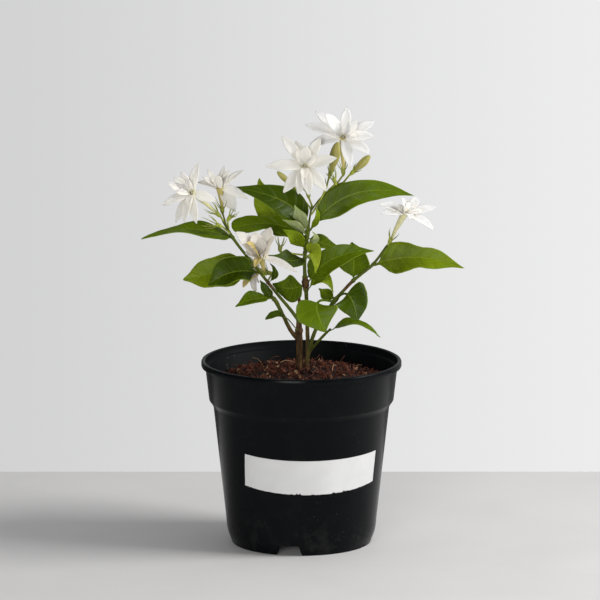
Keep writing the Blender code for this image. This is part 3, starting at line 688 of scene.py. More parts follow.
class StageSettings(bpy.types.PropertyGroup):
    table: colour_of("Table", "The pale floor", (0.775, 0.765, 0.755))
    wall: colour_of("Wall", "The wall behind, on its darker left side", (0.62, 0.62, 0.625))
    wall_light: colour_of("Lit wall", "The wall behind, on its right side", (0.87, 0.87, 0.87))
    shade: colour_of("Shade", "The dim light from the front of the room", (0.06, 0.06, 0.06))
    glow: colour_of("Glow", "The soft light from above and behind", (0.50, 0.50, 0.51))
    key: power_of("Key light", "Power of the soft light from the right", 20.0)
    fill: power_of("Fill light", "Power of the wide light from the front", 31.0)
    elevation: bpy.props.FloatProperty(
        name="Elevation", description="Camera's height angle", default=math.radians(11.2),
        subtype="ANGLE")
    distance: size_of("Distance", "From the camera to the plant", 4.0)
    view_width: size_of("View width", "Width of the view at the plant", 0.3886)
    aim: size_of("Aim", "Height that the camera looks at", 0.1594)


# Pot

FOOT_TOP = 0.0141
FOOT_TOP_RADIUS = 0.0488
FOOT_RADIUS = 0.0453
FOOT_RING = 0.0019
STEP_BOTTOM = 0.0901
BODY_TOP_RADIUS = 0.0572
COLLAR_BOTTOM = 0.0934
COLLAR_BOTTOM_RADIUS = 0.0598
COLLAR_TOP_RADIUS = 0.0623
LIP_HEIGHT = 0.0042
RIM_INNER_RADIUS = 0.0625
FLOOR_UNDERSIDE = 0.0070
FLOOR_TOP = 0.0090
NOTCH_ANGLES = (-10.3, 109.7, 229.7)
NICK_ANGLE = 62.0
DRAIN_CIRCLE = 0.031
DRAIN_RADIUS = 0.004
DRAIN_ANGLES = (34, 94, 154, 214, 274, 334)
DRILL_DEPTH = 0.012
# Width at the ground, width at the top, height and depth of a cut in the foot ring
NOTCH = (0.0172, 0.0138, 0.0067, 0.012)
NICK = (0.0025, 0.0018, 0.0016, 0.004)


def around(angle, radius, z):
    """A point at an angle in degrees from the front of the pot, counted towards the right."""
    turn = math.radians(angle)
    return Vector((radius * math.sin(turn), -radius * math.cos(turn), z))


def body_radius(z):
    """Outer radius of the pot's tapered body."""
    share = (z - FOOT_TOP) / (STEP_BOTTOM - FOOT_TOP)
    return FOOT_TOP_RADIUS + share * (BODY_TOP_RADIUS - FOOT_TOP_RADIUS)


def inner_wall(pot):
    """The pot's inner wall from the rim down to the floor, as radius and height."""
    lip = pot.height - LIP_HEIGHT
    return [
        (RIM_INNER_RADIUS, pot.height - 0.0005), (RIM_INNER_RADIUS - 0.0003, lip),
        (RIM_INNER_RADIUS - 0.0006, lip - 0.0004), (COLLAR_TOP_RADIUS - pot.wall + 0.0003, lip - 0.0010),
        (COLLAR_TOP_RADIUS - pot.wall, lip - 0.0014),
        (COLLAR_BOTTOM_RADIUS - pot.wall, COLLAR_BOTTOM + 0.0015),
        (BODY_TOP_RADIUS - pot.wall, STEP_BOTTOM), (FOOT_TOP_RADIUS - pot.wall, FOOT_TOP),
        (FOOT_TOP_RADIUS - pot.wall - 0.0014, FLOOR_TOP)]


def outer_wall(pot):
    """The pot's outer face from the rim down to the ground, as radius and height."""
    lip = pot.height - LIP_HEIGHT
    rim = [
        (RIM_INNER_RADIUS + 0.0005, pot.height - 0.0001), (pot.rim_radius - 0.0010, pot.height),
        (pot.rim_radius - 0.0003, pot.height - 0.0004), (pot.rim_radius, pot.height - 0.0011),
        (pot.rim_radius, lip + 0.0008), (pot.rim_radius - 0.0003, lip + 0.0002),
        (pot.rim_radius - 0.0010, lip)]
    collar = [
        (COLLAR_TOP_RADIUS + 0.0003, lip - 0.0003), (COLLAR_TOP_RADIUS, lip - 0.0009),
        (COLLAR_BOTTOM_RADIUS + 0.0001, COLLAR_BOTTOM + 0.0008),
        (COLLAR_BOTTOM_RADIUS - 0.0004, COLLAR_BOTTOM),
        (COLLAR_BOTTOM_RADIUS - 0.0011, COLLAR_BOTTOM - 0.0008),
        (BODY_TOP_RADIUS + 0.0003, STEP_BOTTOM + 0.0004), (BODY_TOP_RADIUS - 0.0001, STEP_BOTTOM - 0.0006)]
    foot = [(FOOT_TOP_RADIUS - inset, FOOT_TOP - drop) for inset, drop in (
        (-0.0001, -0.0010), (0.0, 0.0008), (0.0004, 0.0045), (0.0010, 0.0072), (0.0018, 0.0095),
        (0.0027, 0.0117), (0.0033, 0.0136))]
    return rim + collar + foot + [(FOOT_RADIUS, 0.0)]


def wedge(angle, radius, bottom_width, top_width, height, depth):
    """A block through the foot ring, narrower at its top."""
    bpy.ops.mesh.primitive_cube_add(size=1)
    block = bpy.context.object
    with editing(block):
        reshape((bottom_width, depth, height + MM), (0, 0, (height - MM) / 2))
        choose(lambda co: co.z > height / 2)
        bpy.ops.transform.resize(
            value=(top_width / bottom_width, 1, 1), center_override=(0, 0, height))
    block.location = around(angle, radius, 0)
    block.rotation_euler = (0, 0, math.radians(angle))
    settle(block)
    return block


class JASMINE_OT_pot(bpy.types.Operator):
    """Turn the pot, then cut the notches of its foot and its drain holes"""
    bl_idname = "jasmine.pot"
    bl_label = "Pot"

    def execute(self, context):
        pot = context.scene.jasmine_pot
        ring = FOOT_RADIUS - FOOT_RING
        underneath = [(ring, 0.0), (ring + 0.001, FLOOR_UNDERSIDE), (0.0, FLOOR_UNDERSIDE)]
        profile = [(0.0, FLOOR_TOP)] + inner_wall(pot)[::-1] + outer_wall(pot) + underneath
        piece = turned("pot_shell", profile, pot.sides)
        cutters = [wedge(angle, ring + FOOT_RING / 2 + MM, *NOTCH) for angle in NOTCH_ANGLES]
        cutters.append(wedge(NICK_ANGLE, FOOT_RADIUS + MM, *NICK))
        drains = [around(angle, DRAIN_CIRCLE, FLOOR_TOP) for angle in DRAIN_ANGLES]
        for drain in drains + [(0, 0, FLOOR_TOP)]:
            bpy.ops.mesh.primitive_cylinder_add(
                vertices=32, radius=DRAIN_RADIUS, depth=DRILL_DEPTH, location=drain)
            cutters.append(bpy.context.object)
        cut(piece, cutters)
        paint(
            piece, black_plastic("black plastic", pot.colour, 0.16, 0.0),
            black_plastic("black plastic inside", pot.colour, 0.50, 1.0))
        for face in piece.data.polygons:
            middle = face.center
            if face.normal.dot(Vector((middle.x, middle.y, 0))) < 0 and middle.z < pot.height - MM:
                face.material_index = 1
        place(piece, "pot", "pot", angle=35)
        return {"FINISHED"}


# Label

# The label's ends as angles in degrees from the front, counted towards the right
LABEL_LEFT_TOP = -41.5
LABEL_LEFT_BOTTOM = -43.6
LABEL_RIGHT = 61.0
LABEL_COLUMNS = 96
LABEL_ROWS = 6
TORN_DEEP = 0.00020
TORN_LIGHTLY = 0.00004
PAPER_LIFT = 0.00012
PAPER_RIPPLE = 0.00010


class JASMINE_OT_label(bpy.types.Operator):
    """Wrap a bare paper label, torn along its lower edge, round the front of the pot"""
    bl_idname = "jasmine.label"
    bl_label = "Label"

    def execute(self, context):
        label = context.scene.jasmine_label
        bpy.ops.mesh.primitive_grid_add(
            x_subdivisions=LABEL_COLUMNS, y_subdivisions=LABEL_ROWS, size=2, calc_uvs=True)
        piece = named(bpy.context.object, "label_paper")
        tears = random.Random(5)
        torn = [
            tears.gauss(0, 1) ** 2 * (TORN_DEEP if 0.35 < i / LABEL_COLUMNS < 0.75 else TORN_LIGHTLY)
            for i in range(LABEL_COLUMNS + 1)]
        for vert in piece.data.vertices:
            share, level = (vert.co.x + 1) / 2, (vert.co.y + 1) / 2
            bulge = (2 * share - 1) ** 2
            left = LABEL_LEFT_BOTTOM + level * (LABEL_LEFT_TOP - LABEL_LEFT_BOTTOM)
            angle = left + share * (LABEL_RIGHT - left)
            low = label.bottom + 0.0035 * bulge
            top = label.top + (0.0020 - 0.0008 * share) * bulge
            if level < 0.01:
                low += torn[round(share * LABEL_COLUMNS)]
            z = low + level * (top - low)
            lift = PAPER_LIFT + PAPER_RIPPLE * noise.noise(Vector((angle * 0.12, z * 300, 0)))
            vert.co = around(angle, body_radius(z) + lift, z)
        finish_with(piece, "SOLIDIFY", thickness=label.thickness, offset=1.0)
        paint(piece, bare_paper(label.colour))
        place(piece, "label", "label", angle=40)
        return {"FINISHED"}


# Potting mix

MIX_GAP = 0.0003
MIX_RINGS = 26
MIX_SIDES = 96
CHIP_LENGTH = 0.0036
CHIP_KINDS = 5
CHIP_SIZES = (0.5, 0.65, 0.8, 1.0, 1.4)
FIBRE_LENGTH = 0.0085
FIBRE_KINDS = 3


def mound_height(mix, radius, edge_radius):
    """Height of the mound at a distance from its middle."""
    share = min(1.0, radius / edge_radius)
    return mix.edge + (mix.middle - mix.edge) * (1 - share ** 2)


def make_chip(name, length, seed):
    """One angular chip, cut from a ball."""
    bpy.ops.mesh.primitive_ico_sphere_add(subdivisions=1, radius=length / 2)
    chip = named(bpy.context.object, name)
    with editing(chip):
        reshape((1.0, 0.52, 0.36))
        bpy.ops.transform.vertex_random(offset=length * 0.16, uniform=0.8, normal=0.2, seed=seed)
    return chip


def make_fibre(name, length, width):
    """A thin curved strand with square ends."""
    bpy.ops.mesh.primitive_cube_add(size=1)
    strand = named(bpy.context.object, name)
    with editing(strand):
        reshape((length, width, width), (length / 2, 0, 0))
        for third in (length / 3, length * 2 / 3):
            bpy.ops.mesh.select_all(action="SELECT")
            bpy.ops.mesh.bisect(plane_co=(third, 0, 0), plane_no=(1, 0, 0))
        for near, far, bow in ((0.2, 0.8, 0.14), (0.6, 1.1, 0.06)):
            choose(lambda co: length * near < co.x < length * far)
            bpy.ops.transform.translate(value=(0, length * bow, length * 0.05))
    return strand


def scatter(masters, places, name):
    """Copies of the masters at each place and tone, joined into one piece."""
    copies = []
    for number, (matrix, tone) in enumerate(places):
        copy = copy_of(masters[number % len(masters)], f"{name}_{number}")
        copy.data.transform(matrix)
        mark(copy, "tone", [tone] * len(copy.data.vertices))
        copies.append(copy)
    drop(*masters)
    return join(copies, name)


class JASMINE_OT_mix(bpy.types.Operator):
    """Heap the coir mix in the pot and strew loose chips and fibres over it"""
    bl_idname = "jasmine.mix"
    bl_label = "Potting mix"

    def execute(self, context):
        mix, pot = context.scene.jasmine_mix, context.scene.jasmine_pot
        dice = random.Random(mix.seed)
        wall = [(radius - MIX_GAP, z) for radius, z in inner_wall(pot)[5:]]
        edge_radius = wall[0][0] + 2 * MIX_GAP
        body = self.heap(mix, wall, edge_radius)
        chips = [make_chip(f"chip_{i}", CHIP_LENGTH, i + 1) for i in range(CHIP_KINDS)]
        places = []
        for _ in range(mix.chips):
            spot = self.spot_on_top(mix, dice, edge_radius, 0.985, -0.0006, 0.0013)
            turn = Euler([dice.uniform(0, math.tau) for _ in range(3)])
            size = Vector([dice.choice(CHIP_SIZES)] * 3)
            places.append((Matrix.LocRotScale(spot, turn, size), dice.random()))
        loose = scatter(chips, places, "mix_chips")
        strands = [
            make_fibre(f"strand_{i}", FIBRE_LENGTH, 0.00022 + 0.00006 * i) for i in range(FIBRE_KINDS)]
        places = []
        for _ in range(mix.fibres):
            spot = self.spot_on_top(mix, dice, edge_radius, 0.94, 0.0004, 0.0014)
            turn = Euler((dice.uniform(0, math.tau), dice.gauss(0, 0.32), dice.uniform(0, math.tau)))
            size = Vector([dice.uniform(0.45, 1.25)] * 3)
            places.append((Matrix.LocRotScale(spot, turn, size), dice.uniform(0.55, 1.0)))
        fibres = scatter(strands, places, "mix_fibres")
        skin = coir(mix.dark, mix.red, mix.straw)
        for piece in (body, loose, fibres):
            paint(piece, skin)
        place(body, "potting_mix", "potting_mix")
        place(loose, "potting_mix", angle=30)
        place(fibres, "potting_mix", angle=30)
        return {"FINISHED"}

    def heap(self, mix, wall, edge_radius):
        """The mix itself: a mound with a crumbly crust that fills the pot down to its floor."""
        radii = [edge_radius * ring / MIX_RINGS for ring in range(MIX_RINGS + 1)]
        top = [(radius, mound_height(mix, radius, edge_radius)) for radius in radii]
        body = turned("potting_mix_body", top + wall + [(0.0, FLOOR_TOP + MIX_GAP)], MIX_SIDES)
        crust = body.vertex_groups.new(name="crust")
        crust.add([v.index for v in body.data.vertices if v.co.z > mix.edge - MM], 1.0, "REPLACE")
        for size, depth in ((0.007, 0.0016), (0.0026, 0.0014)):
            ruffle(body, "crust", size, depth, mid_level=0.55, direction="Z")
        mark(body, "tone", [0.12] * len(body.data.vertices))
        return body

    def spot_on_top(self, mix, dice, edge_radius, reach, low, high):
        """A random spot on the mound, between low and high above it."""
        radius = edge_radius * reach * math.sqrt(dice.random())
        spot = around(dice.uniform(0, 360), radius, 0)
        spot.z = mound_height(mix, radius, edge_radius) + dice.uniform(low, high)
        return spot


# Stems. The routes are in millimetres: x, y, z and radius

ROOT_DEPTH = 88.0
NODE_HEIGHT = 170.5
ROUTES = {
    "woody": [
        (-1.2, 0, ROOT_DEPTH, 2.0), (-1.1, 0, 115, 2.3), (-1.0, 0, 123, 2.3), (-1.2, -0.5, 131, 2.3),
        (-1.5, -1, 139, 2.1), (-1.5, -1, 147, 1.8), (-1.0, -1, 154.5, 1.4), (-1.5, -1, 161, 1.0)],
    "left_long": [
        (-1.5, -1, 145.5, 1.2), (-7.5, -2, 154, 1.2), (-14, -3, 162, 1.1), (-20.5, -4.5, 170.5, 1.1),
        (-27, -6, 179, 1.0), (-33.5, -7, 187.5, 1.0), (-40, -8.5, 196, 1.0), (-45, -10, 203.5, 1.1),
        (-48, -11, 209, 0.9), (-50.5, -11.5, 213.5, 0.8)],
    "left_short": [
        (-1.5, -1, 132.5, 1.4), (-7, -3, 140, 1.4), (-11, -5, 148.5, 1.3), (-14.5, -6.5, 156, 1.3),
        (-16.5, -7, 160, 1.5), (-19.5, -8, 163.5, 0.8)],
    "centre": [
        (3.6, 0, ROOT_DEPTH, 1.6), (3.6, 0, 115, 1.7), (4.0, 0, 126.5, 1.6), (4.0, 0.5, 136, 1.4),
        (3.7, 1, 146, 1.3), (3.4, 1.5, 158, 1.3), (3.0, 1.5, 165.5, 1.5), (2.6, 1.5, NODE_HEIGHT, 2.0),
        (2.3, 1.5, 175, 1.4), (2.1, 1.5, 182, 1.2), (2.5, 1.5, 192, 1.2), (3.5, 1, 199, 1.2),
        (4.0, 1, 204.5, 1.3), (5.0, 1, 210.5, 0.8), (6.0, 1, 217.5, 0.7), (6.8, 1, 221.5, 0.7)],
    "right_long": [
        (4.0, 0, 120.5, 1.3), (6, -1, 130.5, 1.3), (9, -2, 139.5, 1.3), (12.5, -3, 147, 1.2),
        (17, -4, 153.5, 1.2), (21.5, -5, 160, 1.4), (27, -6, 166.5, 1.1), (33, -6.5, 173, 1.2),
        (39.5, -7, 178.5, 1.0), (45.5, -7.5, 183.5, 1.1), (49.5, -8, 188.5, 0.9), (53, -8, 193.5, 0.9),
        (55.6, -8, 197, 0.9)],
    "right_low": [
        (4.0, 0, 123, 1.0), (7, -1, 127.5, 1.0), (11, -4, 133, 1.0), (15.5, -7, 138.5, 0.9),
        (19, -9, 142, 0.8)],
    "cluster_right": [
        (6.0, 1, 217.5, 0.6), (11, 2, 224.5, 0.6), (17.5, 2.5, 231, 0.6), (23.5, 2.5, 235, 0.6),
        (27.5, 2, 236.5, 0.6)],
}
JOINT_SWELL = 1.32
# The bark is roughest below one height and smooth above the other
ROUGH_BELOW = 125
SMOOTH_ABOVE = 165
ROOTED_STEMS = {
    "stem_woody": ["woody", "left_long", "left_short"],
    "stem_centre": ["centre", "right_long", "right_low", "cluster_right"],
}
# How brown each route is at its foot and at its tip
BROWNNESS = {
    "woody": (1.0, 0.8), "left_long": (0.25, 0.0), "left_short": (0.8, 0.3), "centre": (1.0, 0.0),
    "right_long": (0.5, 0.0), "right_low": (0.6, 0.1), "cluster_right": (0.0, 0.0),
}


def spot_on(route, height):
    """Axis point, direction and radius of a stem where it passes a height, in millimetres."""
    line = smooth_route(ROUTES[route], 1.0)
    for (low, low_radius), (high, high_radius) in zip(line, line[1:]):
        if low.z <= height <= high.z:
            share = (height - low.z) / (high.z - low.z)
            radius = low_radius + share * (high_radius - low_radius)
            return low.lerp(high, share), (high - low).normalized(), radius
    last, radius = line[-1]
    return last, (last - line[-2][0]).normalized(), radius


def grow_point(route, height, target, depth=0.3):
    """Where something that grows towards target leaves a stem, just under the bark."""
    axis_point, direction, radius = spot_on(route, height)
    towards = Vector(target) - axis_point
    if height >= ROUTES[route][-1][2] - 0.01:
        return axis_point - direction * depth
    outwards = (towards - direction * towards.dot(direction)).normalized()
    return axis_point + outwards * (radius - depth)


def make_branch(route):
    """One stem as a tube that follows its route."""
    line = smooth_route(ROUTES[route], 3.0)
    curve = bpy.data.curves.new(route, "CURVE")
    curve.dimensions = "3D"
    curve.bevel_depth = MM
    curve.bevel_resolution = 3
    curve.use_fill_caps = True
    spline = curve.splines.new("POLY")
    spline.points.add(len(line) - 1)
    for point, (position, radius) in zip(spline.points, line):
        point.co = (*(position * MM), 1)
        point.radius = radius
    drawn = bpy.data.objects.new(route, curve)
    bpy.context.collection.objects.link(drawn)
    work_on(drawn)
    bpy.ops.object.convert(target="MESH")
    return bpy.context.object


def make_joint(route, height):
    """The small swelling where a leaf leaves a stem."""
    centre, direction, radius = spot_on(route, height)
    bpy.ops.mesh.primitive_uv_sphere_add(segments=16, ring_count=10, radius=radius * JOINT_SWELL * MM)
    knot = bpy.context.object
    knot.scale = (1, 1, 0.95)
    return stand(knot, centre * MM, direction)


class JASMINE_OT_stems(bpy.types.Operator):
    """Grow the two rooted stems with their branches, joints and bark"""
    bl_idname = "jasmine.stems"
    bl_label = "Stems"

    def execute(self, context):
        stems = context.scene.jasmine_stems
        skin = bark(stems.brown, stems.green)
        for name, routes in ROOTED_STEMS.items():
            parts = [make_branch(route) for route in routes]
            joints = {(leaf.route, leaf.height) for leaf in LEAVES if leaf.route in routes}
            parts += [make_joint(route, height) for route, height in sorted(joints)]
            piece = join(parts, name + "_bark")
            finish_with(piece, "REMESH", mode="VOXEL", voxel_size=stems.grain, adaptivity=0.0)
            finish_with(piece, "SMOOTH", factor=0.6, iterations=4)
            self.roughen(piece)
            self.mark_age(piece, routes)
            paint(piece, skin)
            place(piece, name, name)
        return {"FINISHED"}

    def roughen(self, piece):
        """Raise the bark a little, more near the ground."""
        rough = piece.vertex_groups.new(name="rough")
        for vert in piece.data.vertices:
            age = (SMOOTH_ABOVE - vert.co.z / MM) / (SMOOTH_ABOVE - ROUGH_BELOW)
            age = max(0.0, min(1.0, age))
            rough.add([vert.index], 0.15 + 0.85 * age, "REPLACE")
        ruffle(piece, "rough", 0.0022, 0.0005, octaves=3, mid_level=0.5)

    def mark_age(self, piece, routes):
        """Store how brown the bark is at each point, from the nearest route."""
        marks = []
        for route in routes:
            line = smooth_route(ROUTES[route], 3.0)
            foot, tip = BROWNNESS[route]
            for number, (position, _) in enumerate(line):
                age = foot + (tip - foot) * number / (len(line) - 1)
                marks.append((position * MM, age))
        mark(piece, "woody", [
            min(marks, key=lambda known: (known[0] - vert.co).length_squared)[1]
            for vert in piece.data.vertices])


# Leaves, in millimetres. Each grows from a height on a route, passes its via point half way
# and ends at its tip. facing is the way its upper face looks, fold lifts both halves.

Leaf = namedtuple(
    "Leaf", "name shape tone route height via tip width facing fold wave", defaults=(12, 0.7))
LEAVES = [
    Leaf("far_left", "tailed", "mid", "left_long", 202.5, (-73, -16, 209), (-103, -20, 203.2), 14,
         (0.1, -0.5, 0.86), 10, 2.0),
    Leaf("left_back", "broad", "bright", "left_long", 183, (-55, -4, 178.5), (-76.5, -2, 173), 22,
         (-0.1, -0.95, 0.3)),
    Leaf("left_folded", "broad", "dark", "left_long", 179, (-45, -15, 180.5), (-60, -14, 171.5), 23,
         (0, -0.9, 0.45), 42, 0.8),
    Leaf("upper_left", "broad", "dark", "centre", 206.5, (-11, -3, 224.5), (-44.5, -9, 235), 19,
         (-0.1, -0.85, 0.5)),
    Leaf("upper_left_back", "broad", "bright", "centre", 203.5, (-18, 16, 214), (-27, 20, 236), 23,
         (0.2, -0.95, 0.2)),
    Leaf("wavy_left", "lobed", "mid", "centre", 200, (-17, 1, 209), (-45, -4, 208), 15,
         (0, -0.8, 0.6), 10, 1.4),
    Leaf("bright_left", "slim", "bright", "centre", 193, (-3.5, -4, 201), (-11.5, -6, 207), 9,
         (-0.3, -0.9, 0.2)),
    Leaf("upper_right", "broad", "mid", "centre", 204.5, (33, -0.5, 229), (72.5, 1, 228), 18,
         (0.1, -0.93, 0.35), 8, 0.8),
    Leaf("middle_right", "ovate", "mid", "centre", 171, (22, -9, 189), (47, -12, 194), 18,
         (0.2, -0.8, 0.55), 15, 0.6),
    Leaf("middle_right_back", "ovate", "mid", "centre", 200, (14.5, -1, 197), (31.5, 1, 190), 11,
         (0.2, -0.6, 0.8)),
    Leaf("right_upright", "broad", "mid", "right_long", 173.5, (34, 4, 184.5), (33, 9, 196), 20,
         (0, -0.95, 0.3)),
    Leaf("far_right", "waisted", "bright", "right_long", 184.5, (74, -13, 190), (105, -16, 183.5), 22,
         (0, -0.9, 0.4), 12, 1.0),
    Leaf("middle_left", "ovate", "dark", "centre", 187, (-9.5, -9, 187), (-21.5, -13, 191.5), 15,
         (-0.1, -0.7, 0.7), 18),
    Leaf("yellow", "ovate", "young", "centre", 190.5, (8.5, -6, 191.5), (9.5, -8, 178.5), 11,
         (0.1, -1, 0.1)),
    Leaf("behind_node", "broad", "dark", "centre", 174, (8, 5, 177), (10, 6, 184), 9,
         (0.2, -0.9, 0.3)),
    Leaf("arched_small", "broad", "bright", "centre", 166.3, (13.5, -2, 174), (21, -5, 165.5), 11,
         (0.2, -0.5, 0.8)),
    Leaf("broad_left", "ovate", "mid", "centre", 169, (-8.5, 8, 165.5), (-18.5, 12, 168), 17,
         (-0.1, -1, 0.1)),
    Leaf("left_small", "slim", "dark", "left_short", 161.5, (-22.5, -5, 166.5), (-26.5, -4, 173.5), 6,
         (-0.2, -0.9, 0.3)),
    Leaf("left_low", "slim", "mid", "left_short", 162.5, (-31.5, -14, 162.3), (-42.3, -18, 158.4), 11,
         (-0.1, -0.6, 0.75), 25),
    Leaf("left_tiny", "hanging", "dark", "woody", 139.5, (-13, -14, 152.3), (-23, -17, 149.8), 7,
         (0, -0.6, 0.8)),
    Leaf("front", "hanging", "mid", "right_long", 159, (10, -17, 159.5), (16, -24, 143), 28,
         (0, -0.9, 0.4), 10),
    Leaf("front_back", "broad", "mid", "right_long", 161, (16.5, -1, 163), (11.5, 1, 167), 8,
         (0.2, -0.9, 0.3)),
    Leaf("heart", "hanging", "dark", "right_long", 160.5, (30.5, -13, 165), (36.5, -17, 149), 25,
         (-0.1, -0.9, 0.45), 22),
    Leaf("low_right", "ovate", "mid", "right_low", 141.5, (35, -16, 147.5), (51, -18, 138.5), 9.5,
         (0, -0.35, 0.9), 14),
    Leaf("pale_upright", "slim", "mid", "centre", 205.5, (-0.5, -6, 213.5), (-4, -8, 223.5), 9,
         (0.1, 0.9, 0.2)),
    Leaf("pale_side", "slim", "mid", "centre", 202, (-3.5, -5, 209), (-12, -8, 214), 7,
         (0, 0.7, 0.7)),
    Leaf("slim_top", "slim", "bright", "centre", 205.5, (10, -4, 213.5), (9.3, -3, 221), 4,
         (0.2, -0.9, 0.3)),
    Leaf("pale_curl", "slim", "pale", "centre", 197.5, (9, -7, 200.5), (7.5, -8, 206), 4.5,
         (0.1, -0.9, 0.2)),
    Leaf("slim_left", "slim", "dark", "left_long", 172, (-17, -2, 177), (-20, -1.5, 184), 4,
         (-0.2, -0.9, 0.3)),
]
LEAF_LENGTH = 0.05
LEAF_WIDTH = 0.02
LEAF_COLUMNS = 44
LEAF_ROWS = 16
MIDRIB_DEPTH = 0.0003
MARGIN_RIPPLE = 0.09
QUILT_HEIGHT = 0.00022
# Half width at each share of the length, from the stalk to the drawn-out tip
LEAF_SHAPES = {
    "ovate": ((0, 0.05), (0.07, 0.05), (0.10, 0.30), (0.15, 0.68), (0.22, 0.92), (0.31, 1.0), (0.42, 0.95),
              (0.55, 0.79), (0.70, 0.54), (0.82, 0.33), (0.92, 0.14), (1, 0.01)),
    "hanging": ((0, 0.05), (0.43, 0.05), (0.46, 0.42), (0.50, 0.80), (0.56, 1.0), (0.66, 0.97), (0.76, 0.80),
                (0.85, 0.54), (0.92, 0.30), (0.97, 0.12), (1, 0.01)),
    "waisted": ((0, 0.07), (0.06, 0.07), (0.10, 0.26), (0.16, 0.58), (0.25, 0.88), (0.34, 1.0),
                (0.42, 0.93), (0.49, 0.72), (0.56, 0.58), (0.65, 0.56), (0.74, 0.48), (0.82, 0.34),
                (0.92, 0.14), (1, 0.01)),
    "lobed": ((0, 0.07), (0.07, 0.07), (0.12, 0.35), (0.20, 0.80), (0.32, 1.0), (0.44, 0.84), (0.55, 0.56),
              (0.64, 0.43), (0.74, 0.64), (0.84, 0.82), (0.92, 0.72), (0.97, 0.45), (1, 0.05)),
    "tailed": ((0, 0.07), (0.04, 0.12), (0.08, 0.60), (0.14, 0.95), (0.20, 1.0), (0.28, 0.92), (0.38, 0.72),
               (0.50, 0.60), (0.64, 0.50), (0.78, 0.34), (0.91, 0.16), (1, 0.01)),
    "broad": ((0, 0.055), (0.07, 0.05), (0.10, 0.09), (0.14, 0.30), (0.20, 0.60), (0.28, 0.84), (0.38, 0.98),
              (0.48, 1.0), (0.58, 0.92), (0.70, 0.70), (0.80, 0.46), (0.88, 0.26), (0.94, 0.12), (1, 0.01)),
    "slim": ((0, 0.075), (0.07, 0.07), (0.11, 0.16), (0.18, 0.48), (0.28, 0.80), (0.40, 0.98), (0.50, 1.0),
             (0.62, 0.86), (0.74, 0.60), (0.84, 0.36), (0.92, 0.16), (1, 0.01)),
}


def read_shape(shape, t):
    """The value at t of a list of given stations, in a straight line between them."""
    for (t0, v0), (t1, v1) in zip(shape, shape[1:]):
        if t <= t1:
            return v0 + (v1 - v0) * (t - t0) / (t1 - t0)
    return shape[-1][1]


def make_blade(name, shape, length, width, columns, rows, vein_depth):
    """A flat blade drawn along X: its outline and its midrib groove."""
    bpy.ops.mesh.primitive_grid_add(
        x_subdivisions=columns, y_subdivisions=rows, size=1, calc_uvs=True)
    blade = named(bpy.context.object, name)
    with editing(blade):
        reshape((length, width, 1), (length / 2, 0, 0))
        for column in range(columns + 1):
            x = length * column / columns
            choose(lambda co: abs(co.x - x) < length / columns / 3)
            bpy.ops.transform.resize(
                value=(1, read_shape(shape, column / columns), 1), center_override=(x, 0, 0))
        pitch = width / rows
        choose(lambda co: abs(co.y) < pitch * 0.2 and 0.03 * length < co.x < 0.97 * length)
        bpy.ops.transform.translate(value=(0, 0, -vein_depth))
    return blade


class JASMINE_OT_leaves(bpy.types.Operator):
    """Shape one leaf of each kind, then bend copies of it to every place on the stems"""
    bl_idname = "jasmine.leaves"
    bl_label = "Leaves"

    def execute(self, context):
        leaves = context.scene.jasmine_leaves
        masters = {
            kind: self.quilted(make_blade(
                "leaf_" + kind, shape, LEAF_LENGTH, LEAF_WIDTH, LEAF_COLUMNS, LEAF_ROWS,
                MIDRIB_DEPTH))
            for kind, shape in LEAF_SHAPES.items()}
        # dark and bright are the leaf green with painted shade and with painted backlight.
        skins = {
            "dark": leaf_skin("leaf dark", leaves.dark, leaves.vein, 0.24, 0.10),
            "mid": leaf_skin("leaf green", leaves.mid, leaves.vein, 0.28, 0.20),
            "bright": leaf_skin("leaf bright", leaves.bright, leaves.vein, 0.34, 0.35),
            "young": leaf_skin("leaf young", leaves.young, leaves.vein, 0.34, 0.35),
            "pale": leaf_skin("leaf pale", leaves.underside, leaves.vein, 0.45, 0.20),
        }
        underside = leaf_skin("leaf underside", leaves.underside, leaves.vein, 0.50, 0.10)
        for number, leaf in enumerate(LEAVES):
            piece = copy_of(masters[leaf.shape], "blade_" + leaf.name)
            start = grow_point(leaf.route, leaf.height, leaf.via) * MM
            line = bent_line(start, Vector(leaf.via) * MM, Vector(leaf.tip) * MM)
            depth = leaf.wave * MM
            bend_along(
                piece, line, Vector(leaf.facing), leaf.width * MM / LEAF_WIDTH, leaf.fold,
                lambda t, side: depth * math.sin(9 * t + 2 * side + number) * math.sin(math.pi * t),
                lambda t, side: 1 + MARGIN_RIPPLE * math.sin(11 * t + 3 * side + 2 * number))
            paint(piece, skins[leaf.tone], underside)
            finish_with(
                piece, "SOLIDIFY", thickness=leaves.thickness, offset=0.0, material_offset=1)
            place(piece, "leaf", "leaf_" + leaf.name)
        drop(*masters.values())
        return {"FINISHED"}

    def quilted(self, blade):
        """Raise the blade softly between its side veins."""
        with editing(blade):
            mesh = bmesh.from_edit_mesh(blade.data)
            loops = mesh.loops.layers.uv.active
            for face in mesh.faces:
                for loop in face.loops:
                    along, sideways = loop[loops].uv
                    off = abs(sideways - 0.5) * 2
                    slant = (along * SIDE_VEINS - off * VEIN_SLANT) % 1
                    loop.vert.select = abs(slant - 0.5) > 0.22 and 0.1 < off < 0.9 and 0.12 < along < 0.93
            mesh.select_flush_mode()
            bpy.ops.transform.translate(value=(0, 0, QUILT_HEIGHT))
            bpy.ops.mesh.select_all(action="SELECT")
            bpy.ops.mesh.vertices_smooth(factor=0.5, repeat=2, xaxis=False, yaxis=False, zaxis=True)
        return blade


# Flowers, in millimetres. A stalk leaves a height on a route and ends in a cup. The corolla's
# tube runs from the cup to the centre of its face. Each petal's tip is measured from there, and
# a fourth number is that petal's own width.

